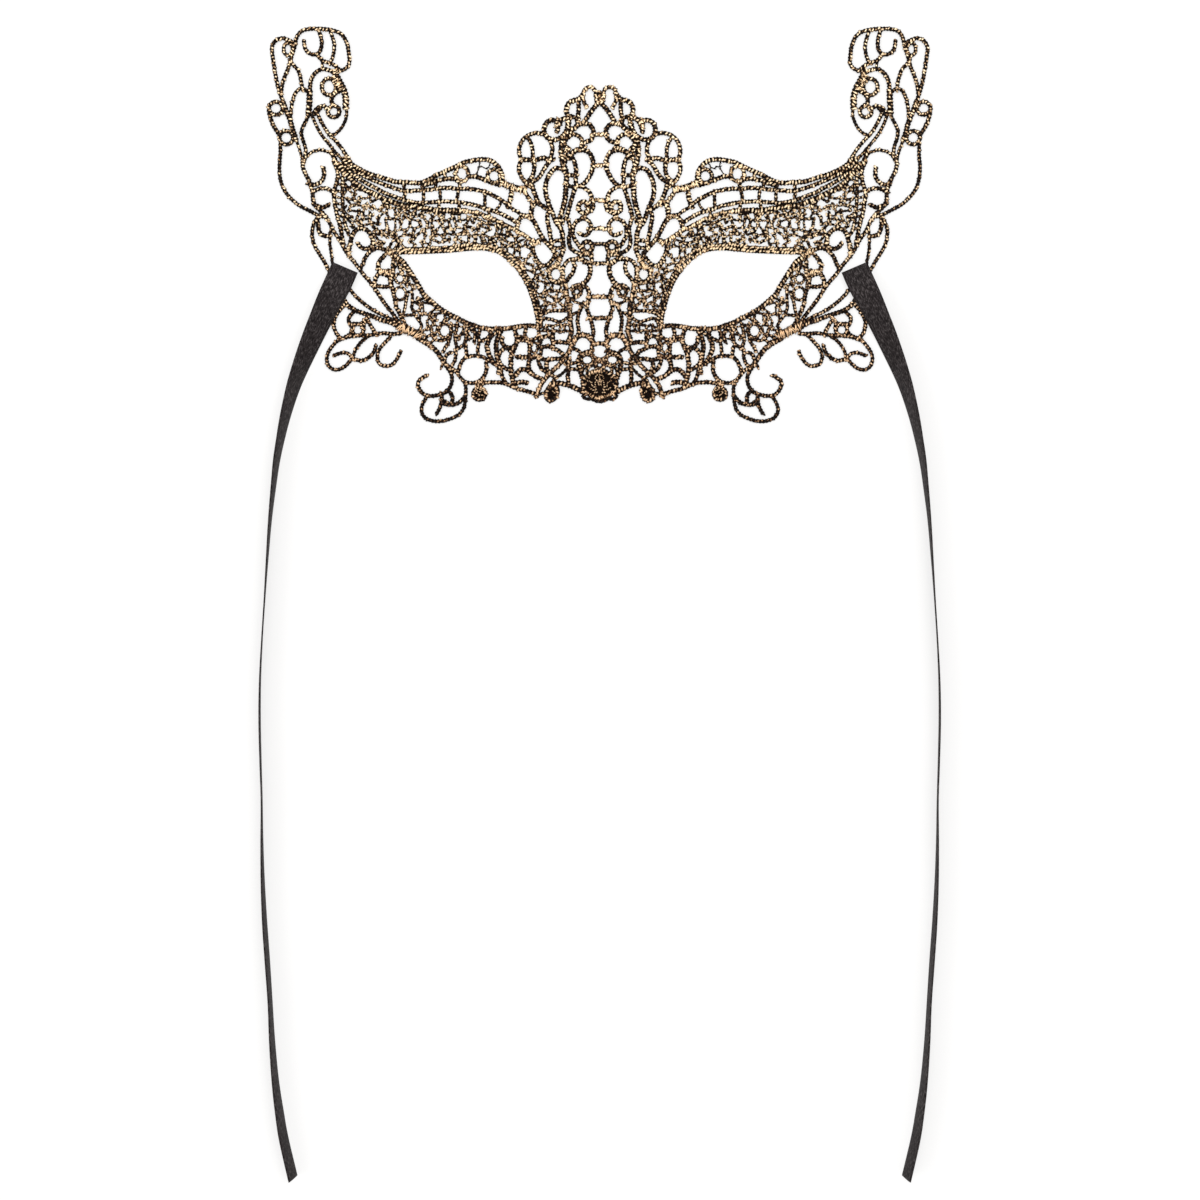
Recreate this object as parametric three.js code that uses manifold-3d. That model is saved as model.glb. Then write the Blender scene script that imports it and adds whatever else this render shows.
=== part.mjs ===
// Lace masquerade mask: one flat piece of openwork lace with a satin ribbon sewn to each side.
// Millimetres, +Z up. It lies face up: +X runs to one temple, +Y from the nose to the crown.
import * as THREE from 'three';
import { mergeVertices } from 'three/addons/utils/BufferGeometryUtils.js';
import Module from 'manifold-3d';

// Driving dimensions
const laceThickness = 1.6;
const patternLift = 0.39; // brings the middle of the lace's outline to the origin
const netPitch = 5.8; // from hole to hole along a row of the ground net
const netHole = 3.4; // from corner to corner of one hole of the net
const netMargin = 1.1; // the clear room around a hole's middle, as a share of netHole
const thinnestCord = 1.2; // finer threads are left out of the solid
const endReach = 0.35; // how far a cord runs on past its end, as a share of its width
const splineStep = 0.8;
const curveTolerance = 0.1;
const outlineTolerance = 0.46;
const smallestHole = 5.5; // square millimetres
const holeShrink = 0.01;
const sharpestMitre = 0.6;
const smallestEye = 0.25; // a ring whose inside is under this share of its width is made solid
const ringSides = 12;
const weldDistance = 1e-4;
const ribbonWidth = 9.2;
const ribbonThickness = 0.5;
const ribbonEndSlant = 0.2; // half the length of the ribbon's slanted end cut

// The lace's right half. Each cord is its width, then one or more routes of x, y pairs.
const wingTip = {
    "crest": [1.6, [88, 51, 85.6, 51.2, 83.5, 53.1, 83.6, 57, 84.3, 60.4, 86.2, 63.3, 90, 64.7, 95, 65,
        99, 64.4, 100.9, 62.2, 101.6, 59, 102.6, 56, 103.2, 53.4]],
    "crest rib": [1.5, [89.6, 63.8, 88.9, 61.8, 88.4, 59.5, 88.6, 57, 89.2, 54.8, 89.9, 53.6]],
    "crest hook": [1.6, [93.6, 64.4, 92.8, 62, 92.6, 59.5, 93.3, 57.2, 95, 56.3, 97, 57, 98.2, 58.6, 98.5,
        60.8]],
    "crest foot": [1.6, [87, 51.6, 88.6, 53, 90.6, 53.8, 92.4, 54.4, 94, 56.2]],
    "crest tie": [1, [92.5, 54, 92.2, 52]],
    "curl arch": [1.7, [88.2, 50.2, 90.2, 51.2, 92.4, 51.6, 94.6, 50.4, 96, 48.3, 96.5, 45.5, 96.5,
        43.6]],
    "curl side": [2.4, [96.6, 43.8, 96.7, 40.5, 96.9, 37.2]],
    "curl spine": [2.6, [88.2, 50.4, 86.9, 47.8, 85.4, 45, 84.6, 42, 84.6, 39]],
    "curl tail": [1.3, [84.4, 38.6, 84.3, 36, 85.4, 33, 87, 30.8, 88.6, 29.8, 89.9, 29.6]],
    "curl link": [1.8, [86, 44.4, 87.6, 43.8, 89, 42.4, 89.4, 40.6, 88.8, 39.8]],
    "curl bridge": [1.7, [90.4, 38.2, 91.8, 39.2, 93.4, 39, 94.6, 38, 95.2, 37]],
    "wing middle": [1.5, [96.7, 36.8, 97.7, 34.6, 98.8, 32.6, 99.4, 30.4, 98.9, 28, 98.2, 26, 97.9, 24,
        98.4, 21.8]],
    "outer loop": [1.6, [102, 60.4, 103.6, 61.2, 105.8, 61.9, 108, 61, 109.2, 58.8, 108.9, 55.5, 108.3,
        51.5, 107.6, 47.6, 106.6, 43.8, 105.3, 40.2]],
    "side rail": [2, [105.3, 40.2, 104.3, 37.4, 103, 34.2, 102.1, 31, 101.2, 28.2]],
    "side rail end": [1.2, [101.6, 29.2, 100.9, 27.4, 100.1, 25.2, 99.4, 23, 98.9, 21]],
    "leaf left": [1.5, [103.2, 54.4, 102.2, 53, 100.6, 51.4, 99.7, 48.8, 99.2, 46.2, 99, 45]],
    "leaf right": [1.6, [103.1, 54, 103.7, 52, 104.7, 49.6, 105.7, 46.6, 106.1, 43.6]],
    "leaf low": [1.5, [96.8, 43.4, 98.2, 44.8, 99.8, 45, 101.3, 43.7, 102.3, 41, 102.8, 38, 103, 35.4]],
    "outer link": [1.7, [110, 36.6, 109.3, 34.2, 108.3, 32, 107.2, 30.4]],
};
const wingSide = {
    "wing outline": [1.5, [106.4, 26.4, 106.4, 23, 106.7, 19, 106.4, 15, 105.2, 11.5, 103, 8.6, 100.2,
        6.2, 97, 4.5, 94, 3, 92.3, 3]],
    "wing inner": [1.7, [98.9, 21.4, 98.9, 19, 98, 16.6, 96.9, 14.6, 96.2, 12.6, 95.6, 10.2, 95.5, 7.8,
        94.4, 5.6, 92.6, 4, 91, 2]],
    "side hook": [1.8, [96.6, 13.2, 94.8, 13, 93, 13.9, 91.9, 15.6, 91.8, 17.2, 92, 18.5]],
    "side arch": [1.3, [98.2, 21.4, 97.4, 22.8, 96, 23.9, 93.6, 24.6, 91.4, 24.3, 89.6, 23.6, 88.6, 22.8]],
    "side arch root": [1.9, [87.9, 20.6, 88.5, 22.2, 89.2, 23.4]],
    "side bow": [1.7, [95.6, 10.6, 94, 11.5, 92.2, 11.9, 90.2, 11.5, 88.6, 10.4]],
    "knob hook": [1.8, [95.2, 6.6, 93.8, 5.8, 92.2, 5.4, 90.5, 6.2]],
    "temple loop": [1.5, [91.2, 2.2, 92.8, 2.5, 94.2, 1.9, 95.2, 0.2, 95.8, -2.4, 95.6, -5.2, 94.8,
        -7.6, 93.4, -10, 92, -12.2, 90.8, -14.4]],
    "temple hook": [1.8, [94, 1.6, 93.8, -0.6, 93.4, -2.6, 92.2, -3.9, 90.2, -4.1]],
    "temple stay": [1.2, [89.7, -2.6, 89.9, -5.4, 89.7, -8.4, 89.3, -11, 89, -13.4, 89.1, -16.6]],
    "ribbon tab": [1.5, [90.8, -14.4, 89.4, -16.8, 87.9, -19.6, 86.5, -23.2]],
    "long diagonal": [1.6, [91, 2, 89.8, 0, 88.8, -2.2, 87.4, -4.2, 86, -6.4, 84.8, -8.8, 83.2, -11,
        81.4, -13.2, 80, -15, 78.6, -17, 76.8, -19, 75, -21.4, 73.2, -24.2, 71.4, -26.8, 69.6, -29, 68,
        -31.2, 66.6, -33.2]],
    "ladder outer": [1.7, [88.4, 20.4, 87.5, 18.4, 87.2, 16, 87.8, 13, 88.6, 10.6, 88.4, 8.2, 88, 5.6,
        87.5, 3, 86.8, 0.6, 86.3, -1.6, 85.9, -4, 85.4, -6.6]],
    "ladder inner": [1.5, [85.4, 18.8, 85.5, 16.6, 85.7, 13.4, 85.7, 10.4, 85.6, 7.2, 85.4, 4, 85, 1,
        84.4, -1.4, 83.8, -3]],
};
const brow = {
    "brow top": [1.9, [32.5, 13.6, 32.6, 16.6, 33.8, 19, 36, 20.9, 39, 21.5, 42, 21.1, 45, 20.5, 48, 19,
        51, 17.6, 54, 16.3, 57, 14.7, 60, 13.6, 64, 13.8, 68, 14, 72, 15.2, 76, 16.4, 79.5, 17.9, 82.5,
        19.8, 84.4, 21.9]],
    "brow top end": [1.5, [83, 20.6, 84.6, 23.2, 86.4, 25.8, 88.4, 28.1, 90.2, 30, 91.6, 32, 92.8, 34.2,
        94, 36.6]],
    "brow two": [1.9, [46.8, 13.9, 48.4, 15, 51, 15, 53.6, 14.5, 56, 13.6, 58.5, 12.8]],
    "brow three": [1.7, [30.6, 6.4, 32.6, 7.8, 34.6, 9, 36.8, 10.1, 39, 10.9, 42, 11.5, 45, 11.7, 47.2,
        11.6, 50, 12, 53.5, 11.8, 57, 11.4, 61, 11.1, 65, 11, 68, 11.8, 71, 12.8, 74, 14, 77, 15.2, 80,
        16.7, 83, 18.8, 85.6, 21.4]],
    "brow three end": [1.3, [84.6, 20.2, 86.6, 22.3, 88.4, 24.3, 90.4, 26.8, 92.2, 29, 93.6, 31.2, 94.8,
        33.6, 95.9, 36.4]],
    "brow four": [1.7, [27.4, 0.2, 29.2, 1.4, 31.4, 2.6, 33.8, 3.8, 36.4, 4.6, 39.4, 5.6, 43, 6.6, 47,
        7.2, 52, 7.5, 57, 7.1, 61, 7, 65, 7.9, 68, 8.9, 71, 10, 74, 11.6, 77, 13.2, 80, 14.9, 83, 17,
        86, 19.9]],
    "brow five": [2.3, [21.6, -6.2, 24, -4.6, 26.4, -3, 28.8, -1.6, 31.4, -0.4, 34.2, 1, 37.4, 2.4, 40.8,
        3.6, 45, 4.3, 50, 4.4, 55, 4.6, 59, 5.3, 63, 5.7, 67, 6.6, 71, 8, 74.5, 9.6, 77.5, 11, 80.5,
        12.9, 83.5, 15.6, 86.2, 18.8, 88, 20.6]],
    "hump base": [1.9, [33.5, 13, 36, 13.8, 38.6, 14.8, 41, 15.7, 43, 15.8]],
    "hump threads": [0.45, [36.6, 19.9, 37.5, 18.4, 39.2, 19.1, 40.2, 19], [40.1, 20.4, 40.1, 18.8,
        40.8, 17.4, 41.6, 16.2]],
    "rungs two to three": [1.4, [46.2, 14.2, 46.6, 12.8, 47, 11.6], [59.2, 13.2, 59, 11.4], [65, 13.4,
        65.2, 11.2], [54.6, 14.2, 54.6, 11.8], [51.6, 17, 51.4, 15.4]],
    "rungs three to four": [1.4, [47, 11.4, 47.7, 7.6], [53.3, 11.6, 53, 7.8], [58.7, 11.2, 58.7, 7.3],
      [65, 10.8, 65, 8.2], [38.2, 10.5, 38.3, 5.4]],
    "rung fine": [1.1, [33, 7.9, 33.2, 6.2, 34.8, 4.4]],
    "rungs four to five": [1.4, [46.9, 7, 46.7, 4.6], [53.6, 7.2, 53.6, 4.8], [60.4, 6.8, 60.6, 5.4],
      [37, 4.8, 36.8, 2.6]],
    "brow root": [1.4, [31, 6.6, 29.6, 5.4, 28, 4.4, 26.2, 3.2, 24.6, 2.7]],
    "bar leg": [2, [29.4, 11, 29.6, 9, 30.1, 7.2, 30.6, 6]],
    "bar left": [1.9, [25.2, 11.4, 24.3, 9.6, 23.1, 8, 22.4, 6.4]],
};
const eyeRim = {
    "eye upper": [1.6, [69, -10.8, 65.9, -9.6, 61, -9.5, 56, -9.3, 50, -9, 44.9, -8.5, 40.2, -8.2, 36.5,
        -8.6, 33.3, -9.6, 29.8, -12.3, 27, -15.3, 24.9, -18.6, 23.5, -21.6, 22.4, -24.7, 21.6, -27.6,
        21, -30.1, 20.6, -32.6, 20.8, -34.1]],
    "eye upper edge": [1.5, [69.4, -9.6, 66.1, -8.4, 61, -8.3, 56, -8.1, 50, -7.8, 45.1, -7.3, 40.2, -7,
        36.3, -7.4, 32.7, -8.6, 29, -11.3, 26, -14.5, 23.9, -18, 22.3, -21.2, 21.2, -24.3, 20.4, -27.2,
        19.8, -29.9, 19.4, -32.6, 19.6, -34.3]],
    "eye lower": [2.1, [20.3, -34.3, 23.5, -33.9, 27, -34.2, 31, -34.9, 35, -35, 39, -34.8, 42, -33.8,
        45, -32.8, 48, -31.2, 51, -29.7, 53.8, -27.8, 56.4, -25.6, 58.6, -23.6, 60.2, -20.8, 61.8,
        -18.2, 63.6, -15.4, 65.6, -12.6, 68.4, -10.6]],
};
const crown = {
    "crown top": [1.8, [1.4, 42.8, 1.4, 44.3, 2.5, 45.4, 3.8, 45.6, 5.1, 44.6, 5.6, 43, 5.5, 41.4, 5.1,
        40.2, 4.5, 39.2]],
    "crown diagonal": [2, [1, 39.6, 2.2, 38.3, 3.4, 36.6, 4.4, 35, 5.2, 33.6]],
    "petal two": [2, [5.8, 42.8, 6.8, 41.6, 8.4, 41.2, 9.9, 40.6, 10.9, 39.2, 11.1, 37.4, 10.6, 35.8,
        10.2, 34.2, 10.4, 32.6]],
    "petal two left": [1.8, [7, 40.8, 7, 38.8, 7.1, 36.8, 7.6, 34.8, 7.4, 33.4]],
    "petal two foot": [1.7, [7.6, 35, 8.9, 35.7, 10.3, 35.9]],
    "petal three hook": [2, [10.4, 35, 11.8, 35.2, 13, 34.2, 13.8, 32.6, 14.2, 31]],
    "petal three": [2, [13.8, 33.6, 14.8, 34.4, 16.2, 34.5, 17.7, 33.7, 18.5, 32, 18.4, 30.2, 17.5,
        28.7, 15.8, 28, 13.8, 28.3, 12, 29.6, 10.9, 31.4, 10.6, 33]],
    "petal four": [1.7, [18.6, 29.8, 20.4, 30.3, 22.6, 30, 24.6, 29, 26, 27.4, 26.8, 25.2, 26.8, 23.2,
        26, 21.6]],
    "petal four inner": [1.6, [24, 28.8, 23, 27.2, 22.4, 25.2, 22.3, 23.2, 22.5, 21.2]],
    "petal four side": [1.7, [16.6, 27.8, 15.8, 26, 15.8, 24, 16.2, 22.2, 16.6, 21]],
    "petal four foot": [2, [16, 21.4, 17.8, 21.7, 19.4, 21.9, 20.8, 21.3, 22.6, 21.2, 24.6, 21.4, 26,
        21.4]],
    "petal four stay": [1.8, [16.6, 21, 17.8, 19.4, 18.9, 17.6, 19.9, 15.9, 21.2, 14.6, 22.8, 13.8]],
    "petal five right": [1.7, [26, 21.3, 26.9, 19.4, 26.8, 17.4, 26, 15.6, 25, 14.2, 23.8, 13]],
    "petal five left": [1.8, [22, 21, 21.8, 19, 22, 17, 22.8, 15.2, 24.2, 14]],
    "link ring": [1.9, [5.2, 33.5, 3.4, 33.1, 2.3, 31.7, 2, 30, 2.6, 28.4, 4, 27.3, 5.6, 27.2]],
    "crown rail": [2.1, [5, 33.5, 6.8, 33.2, 8.4, 31.9, 10, 30.6, 11.6, 29.4, 13, 28.6]],
    "drop left": [1.8, [9, 30, 7.2, 29.4, 6, 28.2, 5.7, 26.7, 6.4, 25.2]],
    "drop right": [1.9, [9.6, 29.6, 11, 28.4, 11.8, 27, 11.6, 25.8, 10.6, 25]],
    "petal six top": [2.3, [5.4, 25.2, 7.2, 24.7, 8.9, 23.8, 9.9, 22.4]],
    "petal six": [1.9, [7, 24.6, 5.2, 24.5, 3.4, 23.6, 2.4, 21.8, 2.1, 19.8, 2.5, 17.8, 3.3, 16, 4.5,
        14.2, 6, 12.8, 7.8, 12.4]],
    "petal six right": [1.8, [9.6, 22.6, 8.6, 21.2, 8, 19.2, 7.9, 17, 8, 14.8, 7.9, 12.8]],
    "column top": [2, [11.9, 29, 12.7, 27, 12.9, 24.8, 12.7, 22.6, 12.6, 20.8, 12, 19]],
    "column inner": [1.7, [11, 25, 10.8, 23, 10.6, 21.4, 11.4, 19.8, 11.4, 18.4, 10.8, 17, 10.9, 15]],
    "column middle": [2.2, [11.6, 18.6, 11, 16.6, 11.1, 14, 11.3, 11, 11.5, 8.5, 12, 6, 12.7, 3.6, 13.6,
        1]],
    "column rungs": [1.3, [10.6, 25.6, 12.4, 26.2], [10.6, 24.3, 12.8, 24.2], [10.8, 22.8, 12.8, 22.6]],
    "long arch": [1.9, [11.4, 17, 12.4, 18.2, 14, 18.6, 15.6, 18, 16.8, 16.4, 17.7, 14.4, 18.1, 12,
        17.9, 9.4, 17.1, 7, 16.1, 4.6, 15.3, 2.4, 14.5, 0.4, 13.4, -1]],
    "petal six links": [1.7, [8, 16.2, 10.8, 16.2], [8, 12.4, 9.6, 12.4, 11.2, 13]],
    "axis bars": [1.8, [0, 29.7, 2.2, 29.7], [0, 19.6, 2.1, 19.6], [0, 7.9, 2.6, 7.9], [0, -1.6, 3.2,
        -1.6], [0, -6.7, 2.2, -6.7]],
    "axis bars thick": [2, [0, -24.3, 3.8, -24.3], [0, -31.6, 4.4, -31.6]],
};
const bridge = {
    "bridge right": [1.8, [8, 12.2, 8.7, 10.4, 9.3, 8.4, 9.9, 6.4, 10.4, 4.4, 10.9, 2.4]],
    "bridge left": [1.7, [6, 12.4, 4.2, 11.4, 2.9, 9.8, 2.4, 8]],
    "rosette side": [1.8, [2.2, 7, 2.2, 5.2, 3.6, 4, 5.2, 3, 5.2, 2], [2.6, 7.4, 4, 6.6]],
    "heart left": [1.7, [5.4, 2, 3.9, 1.2, 3, -0.2, 3, -1.8, 3.8, -3.3, 5.2, -3.9, 6.6, -3.3]],
    "heart right": [1.7, [5.2, 2, 7, 1.2, 8.4, 0, 8.9, -2, 8.9, -4, 8, -5.6, 7, -7.2, 6, -8.6]],
    "heart outer": [1.7, [10.3, 0.4, 9.8, -1.2, 9.9, -3.4, 10.3, -5.4, 10, -7.4, 9, -8.8, 7.4, -9.6,
        6.2, -10]],
    "bridge knot": [1.4, [10.2, 0.6, 10.6, 1.9, 11.8, 2, 12.2, 0.6]],
    "brow cross": [1.5, [22.6, 14.4, 24, 13.2, 25.6, 12], [25.2, 14.2, 24, 12.8, 22.6, 12]],
    "node left": [1.9, [22.6, 13.6, 22.2, 11.8, 21.6, 10, 20.9, 8.2, 20.6, 6.8]],
    "node foot": [1.5, [20.4, 7.2, 21.8, 6.4, 22.4, 5.6]],
    "stay one": [1.9, [21, 7.2, 19.4, 6.2, 17.8, 5.2, 16.8, 4.4]],
    "stay two": [1.8, [16.9, 4.4, 17.5, 2.4, 17.2, 0.2, 16.8, -2, 16.4, -4.2, 16, -6]],
    "stay three": [2.1, [22.4, 6.4, 22.7, 4.4, 23, 2.4]],
    "stay four": [1.9, [24.8, 2.7, 23.2, 2.2, 21.9, 0.8, 20.9, -1.2, 19.9, -3.2, 18.8, -5, 17.4, -6.6,
        16, -8.2, 14.8, -9.6]],
    "root arch": [1.9, [23.2, 2.4, 24.8, 2.7, 26.2, 2.2, 27.1, 0.8, 27.5, -0.8]],
    "inner left": [2, [13.8, 0.6, 13.1, -1.2, 12.4, -3.4, 12.4, -5.4, 12.1, -7.4, 12.4, -9.6, 13.4,
        -11.4]],
    "inner rungs": [1.6, [12.6, -5.4, 14.2, -5.6, 15.8, -5.9], [12.4, -8, 14.6, -8], [16, -6.2, 15.4,
        -8.2], [15, -9.6, 14.4, -11.2]],
    "root link": [2.1, [19.4, -5.2, 21, -6, 22.4, -6.2]],
    "root tail": [1.6, [22.2, -6.6, 22.2, -8.6, 21.6, -10.6, 20.6, -12.4, 19.2, -14]],
};
const nose = {
    "nose top": [1.7, [3, -9.4, 2.7, -11, 2.6, -12.8], [0, -13.2, 4.6, -12.9]],
    "leaf left": [2, [5.2, -12.2, 3.6, -13.2, 3.1, -15.2, 3.5, -17.4, 4.6, -19.2, 5.8, -20.4]],
    "leaf top": [1.6, [4.2, -12.8, 6, -11.9, 8, -11.8, 9.9, -11.8, 11.3, -13, 12.2, -14.8, 12.3, -16.8,
        12, -18.6]],
    "leaf seed": [1.7, [8.8, -12.4, 8.4, -14, 8.7, -15.8, 9.6, -17.2, 10.6, -18.4, 11.4, -19.8], [3.2,
        -10.6, 4.8, -10.2, 6.4, -10.6, 7.6, -11.6], [15.4, -11.4, 16.8, -13.2, 18.6, -14, 20, -13.4]],
    "nose column": [2.3, [12.2, -18.4, 11.5, -20.4, 11.1, -22.6, 10.9, -24.8, 10.1, -26.6, 10, -29, 10,
        -31.4, 9.6, -33.8, 9.4, -36, 10, -38]],
    "diamond sides": [1.6, [5.6, -20.4, 6, -22, 6.8, -23.6, 8.2, -24.6, 9.6, -25], [6.2, -20.4, 8,
        -20.4, 9.4, -21.6]],
    "nose left": [1.7, [5.2, -20.4, 4.2, -21.4, 3.6, -23, 3.5, -24.8, 4, -26.6, 4.3, -28.2, 3.6, -30, 3,
        -31.8, 2.5, -33.8, 2.1, -35.8, 2.4, -37.8, 2.4, -39.6]],
    "nose bow": [1.1, [3.8, -26.2, 5.6, -26.6, 7.4, -26.3, 8.6, -25.6, 10, -25.2]],
    "nose gold": [1.6, [5.6, -26.6, 6.2, -28.2, 7, -30, 7.4, -32, 7.2, -34, 7, -36, 7.6, -37.8]],
    "nose spurs": [1.4, [7.6, -29.6, 9, -30, 9.6, -31], [10.4, -28.8, 12.4, -29, 14.8, -28.9, 17, -29.2,
        18.8, -30], [11, -31.4, 12.8, -32.6, 14.6, -32.4, 16.6, -31.7, 18.4, -31.5, 19.6, -32.8]],
};
const noseTip = {
    "tip arch": [2.3, [2.4, -39.2, 3.4, -37.8, 5, -37.1, 6.8, -37.2, 8.2, -38.5, 9.2, -40.4]],
    "tip diagonal": [2.1, [8.4, -38.6, 9.6, -41, 10.8, -43.4, 12.4, -45.6, 14.2, -47.6, 16, -49.4, 17.8,
        -51.2, 19.2, -53, 20.2, -55, 20.8, -56.8]],
    "tip crown": [1.7, [0, -39.8, 1.4, -40, 2.6, -40.8]],
    "tip bow": [1.8, [2.2, -40.4, 2.9, -42.2, 2.4, -44, 1.2, -45, 0, -45.2]],
    "tip side": [2.1, [2.8, -42.4, 4.6, -43, 6, -43.4, 6.9, -45, 7, -47, 6.5, -48.8, 6, -50.4]],
    "tip spurs": [1.5, [6.2, -43.2, 7.2, -42, 8.6, -41.6], [2, -46.6, 3.6, -47, 5, -47.6, 5.8, -49],
      [7.4, -46, 8.8, -46.4, 10.2, -46.7], [7.2, -48.6, 9.8, -48.2], [10.3, -45.4, 11.1, -46.3],
      [14.6, -51.3, 16.6, -50.1]],
    "tip post": [1.7, [10.2, -46.6, 10.4, -48.6, 10.6, -50.6, 10.5, -52.8]],
    "tip stay": [1.2, [10, -46.6, 11.4, -48.7, 13, -50.3, 15.4, -51.9]],
    "medallion rim": [2, [0, -49, 2.2, -49.4, 4.2, -50.6, 5.6, -52.4, 5.4, -54.8, 4.2, -56.8, 2.2, -58,
        0, -58.4]],
    "edge near": [2.1, [5.2, -56.4, 7, -55.2, 9.2, -54.2, 11.6, -53.4, 13.8, -53, 15.6, -53.2]],
    "edge stay": [1.2, [15, -51.6, 16, -52.9, 17.3, -54.6, 18.2, -56.2], [19, -56.4, 20.6, -56.8,
        21.2, -57.6]],
    "lattice one": [1.4, [17.4, -45.6, 17.9, -47.4, 17.2, -49, 16.4, -50], [10.8, -44.6, 13, -44.9,
        15.4, -45, 17.6, -45.4, 19, -45], [12.2, -43.8, 13.4, -42.4, 15.2, -41.6, 16.8, -40.8, 18.8,
        -41], [10, -39.8, 12.6, -39.4, 15.2, -39.4], [15.6, -36.6, 15.6, -40.6], [15.4, -39.4, 16.2,
        -37.9, 17.6, -37.3, 19.2, -37.9, 19.8, -39.4]],
    "rim stay": [1.5, [20.4, -34.6, 20.2, -36.6, 20.2, -38.6, 20, -40.4, 19.4, -42.4, 20, -44.4]],
    "bean left": [1.7, [20.6, -44.4, 20.2, -46.6, 19.2, -48.4, 17.8, -49.4]],
    "bean right": [1.9, [21, -44.4, 22.6, -44.6, 23.6, -46, 23.7, -47.8, 22.8, -49.6, 21.2, -51, 19.4,
        -51.6]],
    "hook row": [1.9, [20.6, -44, 22.6, -44.2, 25, -44.4, 27.2, -44.4]],
    "open loop": [2, [22.8, -49.8, 24.2, -48.7, 25.8, -48.4, 27.2, -49.2, 28.4, -50.6], [28.6, -53.2,
        27, -52.8, 25.4, -52.7, 24.6, -52.9]],
    "edge far": [1.7, [21, -56.8, 23.2, -56, 25.6, -55.4, 28, -54.7, 30, -53.8, 32, -53, 34.5, -52.8,
        37, -52.8, 39.4, -53.2]],
};
const cheek = {
    "cheek net one": [1.6, [24.6, -35, 25, -36.8, 24.4, -38.4], [20.2, -37.4, 21.8, -38.4, 23.6, -38.8,
        25.4, -37.9, 27.4, -37.4], [23.6, -39, 23.4, -41.2, 23.4, -43.4], [23.8, -39.3, 25.4, -38.7,
        27.2, -38.4]],
    "cheek bowl": [1.8, [28.2, -35.6, 27.7, -37.4, 27.5, -39.2, 28.6, -40.8, 30, -41.3, 31.6, -40.8,
        32.6, -39.6, 32.6, -38.6]],
    "cheek stem": [2, [27.6, -39.4, 28.4, -41.4, 29.2, -43.4, 29.6, -46, 29.6, -48.6, 29.2, -51, 28.6,
        -53.6]],
    "cheek leaf": [1.8, [29.4, -43, 30.4, -41.6, 31.8, -41.4, 33.2, -42.8, 33.8, -44.8, 33.2, -46.6,
        31.6, -48, 29.8, -48.8]],
    "cheek rail": [2, [33, -36, 33.8, -37.6, 34.4, -39.4, 34.5, -41.4, 34.2, -43.4, 34, -45.6, 33.4,
        -47.4, 33.6, -49.2]],
    "cheek drop": [2, [36.4, -36, 36.4, -37.6, 37.2, -39.2, 37.6, -41, 37.1, -43, 36.2, -44.8, 35.4,
        -46.2]],
    "cheek cross": [1.6, [34.4, -36.2, 36.2, -37.4, 38, -38.4, 39.6, -39], [32.8, -49, 32.4, -51, 31.4,
        -52.8]],
    "circle top": [1.6, [34.6, -46.8, 36.4, -45.8, 38.2, -44.7, 40.2, -44, 42.6, -44, 44.6, -44.4, 46,
        -46, 46.8, -47.8, 47.2, -49.6]],
    "circle left": [1.7, [37.8, -46.4, 37.7, -48.4, 38.2, -50.2, 39.4, -51.8, 40.6, -52.8]],
    "circle bottom": [1.6, [40.4, -52.6, 42, -53, 43.6, -53, 45, -52.6]],
    "circle tail": [1.5, [44.8, -52.8, 46.4, -51.2, 47.6, -49.5, 49, -48.2, 50.4, -47.4]],
    "berry neck": [1.2, [39, -53.4, 39.8, -54.8]],
    "cheek ties": [1.3, [51, -38.4, 53, -38.9, 55, -38.4, 55.8, -37, 56.2, -35.2], [55, -38.4, 56.4,
        -39.8], [56.2, -37, 57.6, -37.6, 59, -38.6]],
    "cheek net two": [1.5, [40, -35.8, 40.4, -37.6, 40.2, -39.4, 40.6, -41.4, 40.6, -43.6], [41.8,
        -35.4, 41.4, -37.2, 41.8, -39.2], [44.2, -34.4, 44.4, -36.4, 44.6, -38.4, 45, -40, 46.4, -41,
        47.8, -42], [44.6, -41, 44.2, -43.8], [47.4, -33.4, 47.8, -35.4, 48.2, -37.4, 48, -39.4, 47.6,
        -41], [49.6, -33.6, 49.4, -35.6, 49.8, -37.6, 50.4, -39.6, 51.4, -41, 52, -42.4], [48, -42.6,
        48, -44.6, 48.8, -46.6, 49.6, -47.6], [49.6, -42.9, 51, -43.6, 51.6, -45.2]],
    "cheek edge": [2, [60.4, -38.2, 58, -39.6, 55.8, -41, 54, -42.8, 52.6, -45, 51.2, -47, 49.8,
        -49]],
    "edge spur": [1.2, [52, -46, 52.7, -47.6]],
};
const lowCurls = {
    "big hook": [1.6, [49.8, -49, 49.2, -51, 49.3, -53, 50.2, -55, 51.8, -56.4, 53.8, -57, 55.6, -57.3,
        57.2, -57.3, 58.8, -56.6, 60.2, -54.8, 60.6, -53, 59.8, -51.8, 58.6, -51, 57.8, -50.6]],
    "oval": [1.5, [57.4, -57.4, 58.6, -59.2, 59.4, -61.4, 59, -63.6, 57.4, -65, 54.8, -65.8, 52, -65.6,
        49.4, -64.8, 47, -63.6, 45.4, -61.6, 44.8, -59, 44.6, -56.6, 44.6, -54.4, 45, -52.8]],
    "oval arch": [1.7, [45, -57.6, 46.2, -59, 47.8, -60, 49.8, -60.2, 51.8, -60, 52.6, -59.2], [49.3,
        -60, 49, -58.2, 49.4, -56.6, 50.4, -55.8]],
    "oval drop": [1.6, [52.6, -56.8, 52.6, -58.6, 53, -60.6, 53.6, -62, 54.2, -63]],
    "oval tie": [1.1, [50.2, -60, 51.4, -59.2, 52.4, -58.4]],
};
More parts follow.
